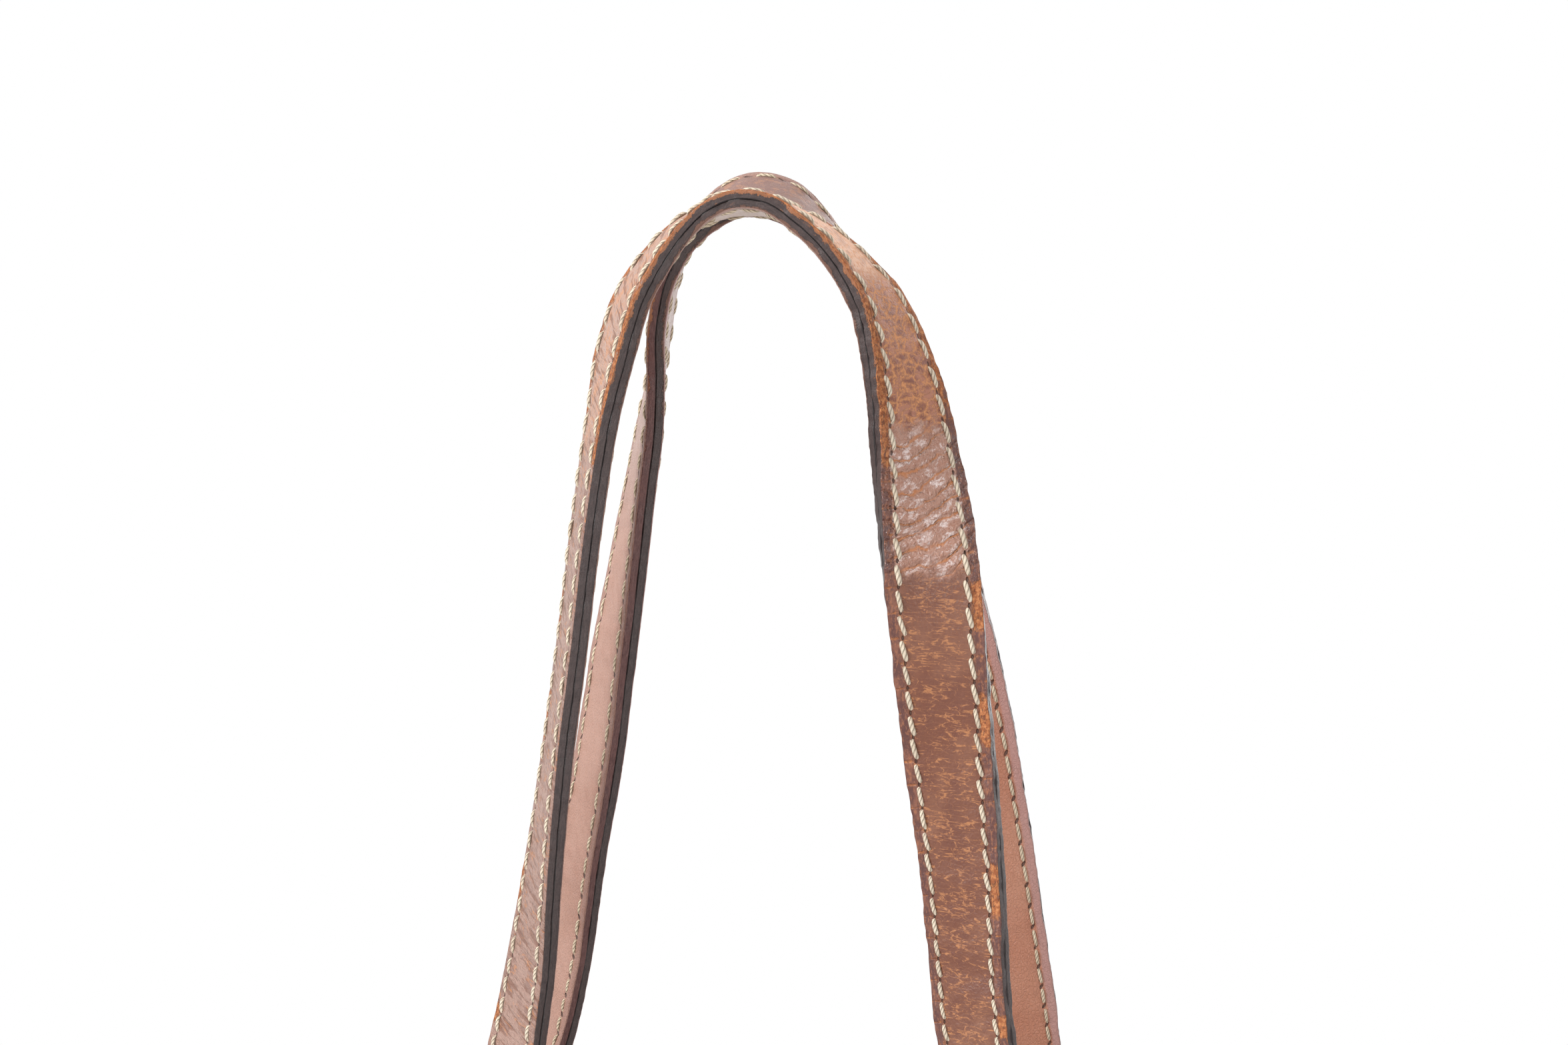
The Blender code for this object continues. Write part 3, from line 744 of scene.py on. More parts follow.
@dataclass(frozen=True)
class StrapGrain(Finish):
    """Worn grain side of the front strap, with its wear placed as on the photographed strap.

    The right leg is crackled under the arch, then creased and polished with a painted sheen and
    painted highlights, then finely scratched.
    The left leg is paler, its own paler tone with painted sheen, and wrinkled across, with painted
    shade in the wrinkles. The arch is rubbed to tan.

    Args:
        deep: Mauve brown of stains.
        body: Main brown.
        light: Polished or rubbed tan.
        pale: Colour of the left leg: its own paler tone with painted sheen of the light from the
            left.
        rust: Raw leather in cracks, scratches and rubbed places.
        margin: Burnished colour outside the stitch rows.
        crackled: Heights between which the right leg is crackled.
        creased: Heights between which it is creased and polished.
        arch_start: Height over which the margins of the arch are raw.
        border: Half width of the soft borders between these stretches.
        fold_distance: Distance between the folds of the creased stretch.
        fold_bow: How much the folds bow: run per squared width.
        fold_slant: How much they slant: run per width.
        bare: (low, high, side) of the margins' raw stretches, side 1 at the front edge.
    """

    shader: ClassVar[type[Shader]] = StrapShader
    deep: Colour = (0.110, 0.036, 0.026)
    body: Colour = (0.154, 0.053, 0.029)
    light: Colour = (0.390, 0.195, 0.118)
    pale: Colour = (0.392, 0.250, 0.204)
    rust: Colour = (0.580, 0.235, 0.085)
    margin: Colour = (0.092, 0.034, 0.030)
    crackled: tuple[float, float] = (0.544, 0.582)
    creased: tuple[float, float] = (0.508, 0.544)
    arch_start: float = 0.600
    border: float = 0.0035
    fold_distance: float = 0.0040
    fold_bow: float = 18.0
    fold_slant: float = -0.30
    bare: tuple[tuple[float, float, float], ...] = (
        (0.5345, 0.620, 1.0), (0.5490, 0.620, -1.0), (0.4930, 0.5055, -1.0),
        (0.4640, 0.4765, -1.0), (0.4215, 0.4340, -1.0), (0.3910, 0.3965, -1.0))

    def paint(self, s: StrapShader) -> None:
        """Ground, then each kind of wear in its own stretch, then margins and holes, with painted
        shade in the holes.

        Args:
            s: Shader of the strap.
        """
        arch = s.larger(s.ease(s.ragged, self.crackled[1] - 0.010, self.crackled[1] + 0.006),
                        s.left * s.ease(s.ragged, 0.530, 0.548))
        colour, net = self._crackle(s, s.mix(arch * 0.92, self._ground(s), self._rubbed(s)))
        colour, fold, polish, plates = self._creases(s, colour)
        colour, rim, raw = self._margins(s, self._wrinkles(s, self._scratches(s, colour)))
        hole = s.holes()
        # near-black needle holes: painted shade inside the holes
        colour = s.mix(hole * 0.85, colour, (0.040, 0.016, 0.011))
        cracks = s.larger(net, fold)
        rough = s.ease(s.fleck, 0.35, 0.75, 0.38, 0.56) + s.larger(cracks, raw) * 0.28
        rough = (rough + arch * 0.14 - polish * 0.27).clamped()
        pebble = s.cells(s.warp(s.warp(s.place, 400.0, 0.0010), 1500.0, 0.0003), 900.0)
        s.finish(colour, rough, [
            ((s.wrinkle - 0.5) * s.left, 0.00180), (plates * polish, 0.00042),
            (s.ease(pebble, 0.0, 0.40) * (0.35 + polish), 0.00011), (s.fleck, 0.00007),
            (1.0 - cracks, 0.00016), (1.0 - raw, 0.00022), (1.0 - rim, 0.00012),
            (1.0 - hole, 0.00050)], Specular_IOR_Level=0.42)

    def _ground(self, s: StrapShader) -> Signal:
        """Clouded brown, paler on the left leg, with stains and specks.

        Args:
            s: Shader of the strap.

        Returns:
            Its colour.
        """
        cloud = s.noise(s.where, 48.0, 4.0, 0.6)
        return s.layers(
            self.body, (s.ease(cloud, 0.38, 0.70, 0.0, 0.24), self.light),
            # paler left leg: its own paler tone with painted sheen of the light from the left
            (s.left * 0.86, self.pale),
            (s.ease(s.mottle, 0.42, 0.66, 0.0, 0.35), self.deep),
            (s.ease(s.fleck, 0.45, 0.72, 0.0, 0.30), self.deep))

    def _rubbed(self, s: StrapShader) -> Signal:
        """The arch, where hands rubbed the finish off: tan, with raw and stained spots.

        Args:
            s: Shader of the strap.

        Returns:
            Its colour.
        """
        raw = s.ease(s.noise(s.place, 190.0, 5.0, 0.72), 0.51, 0.58)
        return s.layers(
            self.light, (s.ease(s.mottle, 0.36, 0.60), self.pale),
            # paler, greyer left side of the arch: its own rubbed tone with painted sheen of the
            # light from the left
            (s.left * 0.35, (0.500, 0.385, 0.340)),
            (s.right * 0.85, (0.720, 0.410, 0.255)),
            (s.ease(s.fleck, 0.46, 0.60) * (0.15 + s.right * 0.50), self.rust),
            (s.right * s.ease(s.mottle, 0.50, 0.60, 0.0, 0.45), (0.300, 0.150, 0.115)),
            (s.left * raw * 0.42, self.rust))

    def _crackle(self, s: StrapShader, colour: Signal) -> tuple[Signal, Signal]:
        """Dark plates in a raw net: edges of warped cells, wider where blotches are.

        Args:
            s: Shader of the strap.
            colour: Colour so far.

        Returns:
            Colour and net.
        """
        zone = s.right * s.band(s.ragged, *self.crackled, self.border)
        edge = s.warp(s.warp(s.scale(s.place, 1.40, 0.75), 260.0, 0.0030), 1100.0, 0.0007)
        edge = s.cells(edge, 320.0) / s.ease(s.mottle, 0.38, 0.60, 0.03, 0.27)
        hair = s.lines(s.warp(s.scale(s.place, 1.3, 0.8), 420.0, 0.0018), 560.0, 0.05)
        net = s.larger((1.0 - edge).clamped(), hair * 0.80)
        net = net * (zone * s.ease(s.fleck, 0.38, 0.54, 0.30, 1.0))
        plate = s.mix(s.ease(s.mottle, 0.42, 0.56), (0.410, 0.175, 0.112),
                      (0.215, 0.078, 0.054))
        return s.layers(colour, (zone * 0.88, plate), (net * 0.92, (0.640, 0.285, 0.120))), net

    def _creases(self, s: StrapShader,
                 colour: Signal) -> tuple[Signal, Signal, Signal, Signal]:
        """Polished stretch: raw folds in bent rows across, crazed between, with a painted sheen and
        painted pale glints.

        The folds lie where the run along the strap, plus a bow and a slant across it and noise,
        is half a fold distance past a whole number of them.

        Args:
            s: Shader of the strap.
            colour: Colour so far.

        Returns:
            Colour, folds, how polished the leather is, and its rounded plates.
        """
        u, v = s.run_width
        polish = s.right * s.band(s.ragged, *self.creased, self.border)
        bend = s.noise(s.place, 120.0, 3.0, 0.50) * 1.7
        phase = (u + v * v * self.fold_bow + v * self.fold_slant) / self.fold_distance
        apart = abs(s.part(phase + bend))
        fold = s.fall(apart, 0.0, 0.140) * s.ease(s.mottle, 0.36, 0.50, 0.35, 1.0) * polish
        # pale patches on the polished plates: painted highlights
        painted_glint = s.noise(s.warp(s.slanted(-0.30, 0.60), 500.0, 0.0010), 470.0, 5.0, 0.70)
        painted_glint = s.ease(painted_glint, 0.50, 0.60) * s.ease(s.mottle, 0.38, 0.54, 0.3, 1.0)
        craze = s.lines(s.warp(s.place, 500.0, 0.0008), 620.0, 0.040)
        colour = s.layers(
            # paler tint over the polished stretch: painted sheen; pale glint patches: painted
            # highlights
            colour, (polish * 0.70, (0.500, 0.285, 0.215)),
            (painted_glint * (polish * 0.74), (0.790, 0.670, 0.645)),
            (craze * polish * 0.62, (0.300, 0.120, 0.070)),
            (fold * 0.95, (0.440, 0.165, 0.062)))
        return colour, fold, polish, s.ease(apart, 0.0, 0.40)

    def _scratches(self, s: StrapShader, colour: Signal) -> Signal:
        """Lower right leg: strokes, hatching and specks in clusters, most in the middle.

        Args:
            s: Shader of the strap.
            colour: Colour so far.

        Returns:
            Colour with the scratches.
        """
        zone = s.right * s.fall(s.ragged, self.creased[0] - 0.006, self.creased[0] + 0.004)
        middle = s.ease(abs(s.across), 0.10, 0.66, 0.05, -0.03)
        cluster = s.noise(s.slanted(0.16, 0.60), 230.0, 3.0, 0.6) + middle
        strokes = s.lines(s.warp(s.slanted(0.16, 0.15), 520.0, 0.0011), 560.0, 0.034)
        strokes = strokes * s.ease(s.noise(s.place, 420.0, 4.0, 0.65), 0.46, 0.56)
        hatch = s.warp(s.warp(s.slanted(0.16, 0.25), 420.0, 0.0017), 1500.0, 0.0004)
        hatch = s.cells(hatch, 760.0) / s.ease(cluster, 0.48, 0.72, 0.010, 0.125)
        hatch = (1.0 - hatch).clamped() * s.ease(s.fleck, 0.40, 0.54, 0.15, 1.0)
        speck = s.noise(s.slanted(0.10, 0.55), 1500.0, 4.0, 0.7)
        speck = s.ease(speck, 0.58, 0.64) * s.ease(cluster, 0.56, 0.70)
        worn = s.larger(s.larger(strokes, hatch), speck) * zone
        return s.mix(worn * 0.80, colour, (0.480, 0.205, 0.082))

    def _wrinkles(self, s: StrapShader, colour: Signal) -> Signal:
        """Left leg: painted shade in the valleys of the wrinkles, and a few raw streaks along them.

        Args:
            s: Shader of the strap.
            colour: Colour so far.

        Returns:
            Colour with the wrinkles.
        """
        streak = s.lines(s.warp(s.slanted(0.32, 0.20), 300.0, 0.0016), 380.0, 0.040)
        return s.layers(
            # dark valleys of the wrinkles: painted shade
            colour, (s.ease(s.wrinkle, 0.40, 0.48, 0.72, 0.0) * s.left, (0.180, 0.076, 0.046)),
            (streak * s.left * s.ease(s.mottle, 0.46, 0.60) * 0.60, self.rust))

    def _margins(self, s: StrapShader, colour: Signal) -> tuple[Signal, Signal, Signal]:
        """Burnished margins, raw stretches, and a rubbed tick at every needle hole.

        Args:
            s: Shader of the strap.
            colour: Colour so far.

        Returns:
            Colour, the margin and its raw places.
        """
        patch = s.noise(s.scale(s.place, 0.45, 1.0), 330.0, 4.0, 0.65)
        wobble = (s.noise(s.place, 420.0, 4.0, 0.6) - 0.5) * 0.14
        margin = s.ease(abs(s.across) + wobble, 0.75, 0.82)
        grit = s.noise(s.scale(s.place, 0.50, 1.0), 1200.0, 4.0, 0.65)
        burnt = s.layers(
            self.margin, (s.ease(patch, 0.46, 0.66, 0.0, 0.65), (0.270, 0.105, 0.062)),
            (s.ease(grit, 0.50, 0.62, 0.0, 0.60), (0.340, 0.135, 0.068)))
        colour = s.mix(margin * (0.12 + s.right * 0.78), colour, burnt)
        tick = s.ease(abs(s.part(s.stitch[0] + 0.5)) + wobble * 1.6, 0.0, 0.07, 0.8, 0.0)
        raw = tick * (s.right * s.ease(patch, 0.40, 0.52))
        shift = s.xyz[2] + wobble * 0.05
        for low, high, side in self.bare:
            there = s.ease(s.across * side, 0.0, 0.2) * s.band(shift, low, high, 0.0006)
            if high > self.arch_start:
                full = s.right if side > 0.0 else 0.0
                there = there * s.larger(full, s.ease(patch, 0.36, 0.43))
            raw = s.larger(raw, there)
        raw = raw * margin * s.ease(grit, 0.38, 0.46, 0.30, 1.0)
        tone = s.mix(s.ease(s.fleck, 0.35, 0.60), (0.500, 0.195, 0.070),
                     (0.270, 0.082, 0.028))
        return s.mix(raw, colour, tone), margin, raw


@dataclass(frozen=True)
class StrapLining(Finish):
    """Smooth tan side of a strap, mauve outside its stitch rows.

    Args:
        body: Main tan.
        light: Pale clouds.
        deep: Streaks and pores.
        margin: Colour outside the stitch rows.
        upper: Paler colour below the arch, from upper_start up: a painted highlight.
        upper_start: Height where that colour begins.
        crown: Colour at the top of the arch, where hands hold it.
        worn: Colour of the rubbed spots up there.
    """

    body: Colour = (0.355, 0.190, 0.140)
    light: Colour = (0.420, 0.240, 0.185)
    deep: Colour = (0.230, 0.110, 0.080)
    margin: Colour = (0.300, 0.165, 0.130)
    upper: Colour = (0.390, 0.265, 0.228)
    upper_start: float = 0.510
    crown: Colour = (0.215, 0.112, 0.090)
    worn: Colour = (0.400, 0.190, 0.105)

    def paint(self, s: Shader) -> None:
        """Soft clouds, fine pores, faint streaks, mauve margins and slanted needle slots with
        painted shade in them.

        Args:
            s: Shader of the material.
        """
        z = s.xyz[2]
        across = abs(s.run_width[1]) / HALF_STRAP
        cloud = s.noise(s.where, 42.0, 3.0, 0.55)
        pore = s.noise(s.place, 1500.0, 3.0, 0.6)
        streak = s.noise(s.slanted(0.9, 0.5), 330.0, 4.0, 0.6)
        pebble = s.cells(s.warp(s.place, 500.0, 0.0005), 1100.0)
        worn = s.ease(s.noise(s.place, 300.0, 5.0, 0.7), 0.50, 0.60, 0.0, 0.60)
        rim = across + (streak - 0.5) * 0.08
        hole = s.holes(0.72, 3.0)
        colour = s.layers(
            self.body, (s.ease(cloud, 0.34, 0.68), self.light),
            (s.ease(streak, 0.50, 0.78, 0.0, 0.22), self.deep),
            (s.ease(pore, 0.52, 0.72, 0.0, 0.22), self.deep),
            # paler band below the arch: painted highlight
            (s.ease(z, self.upper_start, self.upper_start + 0.040), self.upper),
            (s.ease(z, 0.580, 0.598), s.mix(worn, self.crown, self.worn)),
            (s.ease(rim, 0.76, 0.84, 0.0, 0.75), self.margin),
            (s.ease(rim, 0.965, 1.0, 0.0, 0.20), (0.120, 0.055, 0.045)),
            # near-black needle holes: painted shade inside the holes
            (hole * 0.85, (0.045, 0.020, 0.014)))
        groove = s.ease(abs(across - STITCH_INSET), 0.02, 0.07)
        s.finish(colour, s.ease(streak, 0.3, 0.8, 0.42, 0.58), [
            (streak, 0.00010), (pore, 0.00005), (groove, 0.00012),
            (s.ease(pebble, 0.0, 0.22), 0.00009), (1.0 - hole, 0.00050)],
            Specular_IOR_Level=0.42)


@dataclass(frozen=True)
class CutEdge(Finish):
    """Painted cut edge of a leather piece: charcoal and fibrous.

    Args:
        body: Paint colour.
        scuff: Colour of its rubbed fibres.
    """

    body: Colour = (0.046, 0.034, 0.033)
    scuff: Colour = (0.098, 0.076, 0.072)

    def paint(self, s: Shader) -> None:
        """Fibres as fine noise, and pale scuffs.

        Args:
            s: Shader of the material.
        """
        fibre = s.noise(s.where, 1100.0, 4.0, 0.7)
        cloud = s.noise(s.where, 190.0, 3.0, 0.6)
        colour = s.layers(self.body, (s.ease(fibre, 0.38, 0.68), self.scuff),
                          (s.ease(cloud, 0.40, 0.70, 0.0, 0.30), self.scuff))
        s.finish(colour, s.ease(cloud, 0.3, 0.7, 0.36, 0.56), [(fibre, 0.00012)],
                 Specular_IOR_Level=0.40)


@dataclass(frozen=True)
class StrapEdge(Finish):
    """Painted cut edge of a strap layer, with a painted shadow line at the gap between the layers
    and worn rims on the arch.

    Args:
        body: Paint colour.
        scuff: Colour of its rubbed fibres.
        rust: Colour of bare leather.
        rubbed_from: Height from which the rims are bare.
    """

    body: Colour = (0.037, 0.024, 0.023)
    scuff: Colour = (0.073, 0.048, 0.045)
    rust: Colour = (0.290, 0.112, 0.048)
    rubbed_from: float = 0.545

    def paint(self, s: Shader) -> None:
        """Long fibres and short nicks; the rim is bare where height and blotches allow it.

        The second stitch coordinate runs from 1 at the face to 2 at the gap between the layers.

        Args:
            s: Shader of the material.
        """
        z = s.xyz[2]
        depth = abs(s.stitch[1]) - 1.0
        fibre = s.noise(s.scale(s.place, 0.22, 1.0), 2300.0, 4.0, 0.7)
        nick = s.noise(s.scale(s.place, 1.0, 0.40), 1300.0, 3.0, 0.65)
        cloud = s.noise(s.where, 170.0, 4.0, 0.6)
        patch = s.noise(s.scale(s.place, 0.5, 1.0), 420.0, 4.0, 0.65)
        grit = s.noise(s.place, 1700.0, 4.0, 0.65)
        high = s.ease(z, self.rubbed_from - 0.020, self.rubbed_from + 0.040)
        reach = depth + (patch - 0.5) * 1.7 + (grit - 0.5) * 0.7 - high * 0.28
        rim = s.fall(reach, 0.02, 0.12)
        bare = s.larger(rim * (0.10 + high * 0.85), s.ease(patch, 0.62, 0.68) * (high * 0.5))
        # painted shadow in the narrow gap between the two layers
        glue_gap = s.ease(depth + nick * 0.04, 0.965, 1.0)
        colour = s.layers(
            self.body, (s.ease(fibre, 0.36, 0.70), self.scuff),
            (s.ease(nick, 0.56, 0.70, 0.0, 0.35), self.scuff),
            (s.ease(cloud, 0.40, 0.70, 0.0, 0.40), self.scuff),
            # near-black line at the gap between the layers: painted shadow
            (bare, self.rust), (glue_gap * 0.80, (0.012, 0.009, 0.009)))
        s.finish(colour, s.ease(cloud, 0.3, 0.7, 0.32, 0.50), [
            (fibre, 0.00012), (nick, 0.00012), (grit, 0.00012), (1.0 - rim, 0.00008)],
            Specular_IOR_Level=0.36)


@dataclass(frozen=True)
class Hide(Finish):
    """Vegetable-tanned hide of the bag's body, patinated and rubbed.

    Args:
        deep: Colour of creases and stains.
        body: Main colour.
        light: Colour of the polished high places.
        rust: Colour of rubbed places.
        gloss: Lowest roughness.
        floor_darkening: How much darker the leather gets towards the floor, from 0 to 1.
    """

    deep: Colour = (0.070, 0.025, 0.015)
    body: Colour = (0.180, 0.066, 0.036)
    light: Colour = (0.285, 0.115, 0.062)
    rust: Colour = (0.500, 0.190, 0.070)
    gloss: float = 0.36
    floor_darkening: float = 0.0

    def paint(self, s: Shader) -> None:
        """Clouds of patina, pebble grain, fine wrinkles, scratches and rubbed spots.

        Args:
            s: Shader of the material.
        """
        x, _, z = s.xyz
        cloud = s.noise(s.warp(s.where, 9.0, 0.03), 11.0, 5.0, 0.6)
        stain = s.noise(s.where, 32.0, 5.0, 0.65)
        uneven = (stain - 0.5) * 0.05
        handled = s.larger(s.ease(abs(x) + uneven, 0.138, 0.176),
                           s.ease(z + uneven, 0.246, 0.290))
        fleck = s.noise(s.where, 380.0, 4.0, 0.6)
        pebble = s.cells(s.warp(s.where, 260.0, 0.0010), 560.0, "F1")
        wrinkle = s.cells(s.warp(s.scale(s.where, 1.0, 1.0, 1.7), 40.0, 0.010), 70.0)
        scratch = s.noise(s.scale(s.warp(s.where, 14.0, 0.02), 1.0, 1.0, 9.0), 90.0, 2.0, 0.5)
        hatch = s.lines(s.scale(s.warp(s.where, 60.0, 0.006), 0.35, 1.0, 1.6), 420.0, 0.035)
        rub = s.noise(s.warp(s.where, 30.0, 0.02), 26.0, 6.0, 0.7)
        crumple = s.noise(s.warp(s.where, 7.0, 0.05), 17.0, 3.0, 0.5)
        colour = s.layers(
            self.body, (s.ease(cloud, 0.34, 0.70, 0.0, 0.85), self.light),
            (s.ease(stain, 0.48, 0.75, 0.0, 0.45), self.deep),
            (handled * 0.42, self.deep),
            (hatch * s.ease(stain, 0.50, 0.62) * 0.45, self.rust),
            (s.ease(wrinkle, 0.0, 0.035, 0.40, 0.0), self.deep),
            (s.ease(fleck, 0.50, 0.75, 0.0, 0.35), self.deep),
            (s.ease(scratch, 0.66, 0.76, 0.0, 0.35), self.light),
            (s.ease(rub, 0.64, 0.74, 0.0, 0.50), self.rust))
        # darker towards the bottom
        if self.floor_darkening:
            colour = s.mix(s.ease(z, 0.0, 0.05, self.floor_darkening, 0.0), colour, self.deep)
        rough = (s.ease(fleck, 0.3, 0.8, self.gloss, self.gloss + 0.16)
                 + s.ease(rub, 0.62, 0.74, 0.0, 0.20)).clamped()
        s.finish(colour, rough, [
            (crumple, 0.0060), (s.ease(wrinkle, 0.0, 0.09), 0.00030),
            (s.fall(pebble, 0.1, 0.6), 0.00010), (fleck, 0.00010)], Specular_IOR_Level=0.30)


@dataclass(frozen=True)
class Suede(Finish):
    """Flesh side or suede lining: matte, brushed, with worn darker clouds.

    Args:
        body: Main colour.
        deep: Colour of the worn clouds.
    """

    body: Colour = (0.360, 0.215, 0.135)
    deep: Colour = (0.215, 0.115, 0.070)

    def paint(self, s: Shader) -> None:
        """Short fibres as stretched noise, in brushed clouds.

        Args:
            s: Shader of the material.
        """
        nap = s.noise(s.scale(s.warp(s.where, 60.0, 0.006), 1.0, 1.0, 0.35), 1300.0, 3.0, 0.7)
        cloud = s.noise(s.warp(s.where, 12.0, 0.03), 22.0, 4.0, 0.6)
        colour = s.layers(self.body, (s.ease(cloud, 0.32, 0.72), self.deep),
                          (s.ease(nap, 0.45, 0.75, 0.0, 0.40), self.deep))
        s.finish(colour, 0.86, [(nap, 0.00018), (cloud, 0.00040)], Specular_IOR_Level=0.20,
                 Sheen_Weight=0.25)


@dataclass(frozen=True)
class Thread(Finish):
    """Waxed twisted thread; its plies run as slanted bands round each stitch.

    Args:
        body: Thread colour.
        grime_and_ply_shade: Colour of grime, and of painted shade in the grooves between plies.
        bands: Number of ply bands that one stitch shows.
    """

    body: Colour = (0.700, 0.600, 0.470)
    grime_and_ply_shade: Colour = (0.360, 0.270, 0.185)
    bands: float = 4.0

    def paint(self, s: Shader) -> None:
        """Sine bands, slanted over a stitch's length and the turn round it, with painted shade
        between the plies, grime and fuzz.

        Args:
            s: Shader of the material.
        """
        u, v = s.run_width
        band = abs(s.math("SINE", (u * self.bands + v * 3.0) * math.pi))
        grime = s.noise(s.where, 130.0, 4.0, 0.6)
        fuzz = s.noise(s.where, 2600.0, 2.0, 0.6)
        grimy = s.mix(s.ease(grime, 0.35, 0.75), self.body, self.grime_and_ply_shade)
        colour = s.layers(self.body, (0.40, grimy),
                          # darker grooves between the plies: painted shade
                          (s.ease(band, 0.05, 0.50, 0.80, 0.0), self.grime_and_ply_shade))
        s.finish(colour, 0.62, [(s.ease(band, 0.0, 0.8), 0.00030), (fuzz, 0.00005)],
                 Specular_IOR_Level=0.35)


@dataclass(frozen=True)
class Brass(Finish):
    """Solid brass, hand-polished, with tarnish and fine scratches.

    Args:
        body: Bright metal.
        tarnish: Colour of the tarnish.
    """

    body: Colour = (0.610, 0.420, 0.170)
    tarnish: Colour = (0.240, 0.150, 0.070)

    def paint(self, s: Shader) -> None:
        """Tarnish clouds, pits and brushed scratches over bright metal.

        Args:
            s: Shader of the material.
        """
        cloud = s.noise(s.where, 150.0, 4.0, 0.65)
        pit = s.cells(s.where, 900.0, "F1")
        scratch = s.noise(s.scale(s.where, 1.0, 6.0, 6.0), 600.0, 2.0, 0.5)
        colour = s.mix(s.ease(cloud, 0.40, 0.75), self.body, self.tarnish)
        rough = (s.ease(cloud, 0.3, 0.8, 0.20, 0.46)
                 + s.ease(scratch, 0.5, 0.8, 0.0, 0.10)).clamped()
        s.finish(colour, rough, [(scratch, 0.00003), (s.ease(pit, 0.0, 0.25), 0.00002)],
                 Metallic=1.0)


@dataclass(frozen=True)
class StageFloor(Finish):
    """Pale studio floor that fades to the white of the backdrop.

    Args:
        body: Colour in the middle.
        fade: Distances from the middle between which it turns white.
    """

    body: Colour = (0.86, 0.86, 0.86)
    fade: tuple[float, float] = (0.55, 1.50)

    def paint(self, s: Shader) -> None:
        """Pale and matte in the middle, turning to plain white light with the distance.

        Args:
            s: Shader of the material.
        """
        white = s.ease(s.radius(*s.xyz[:2]), *self.fade)
        s.feed(s.bsdf.inputs["Emission Color"], (1.0, 1.0, 1.0))
        s.feed(s.bsdf.inputs["Emission Strength"], white)
        s.finish(s.mix(white, self.body, (0.0, 0.0, 0.0)), 0.75, Specular_IOR_Level=0.0)


# The bag's form


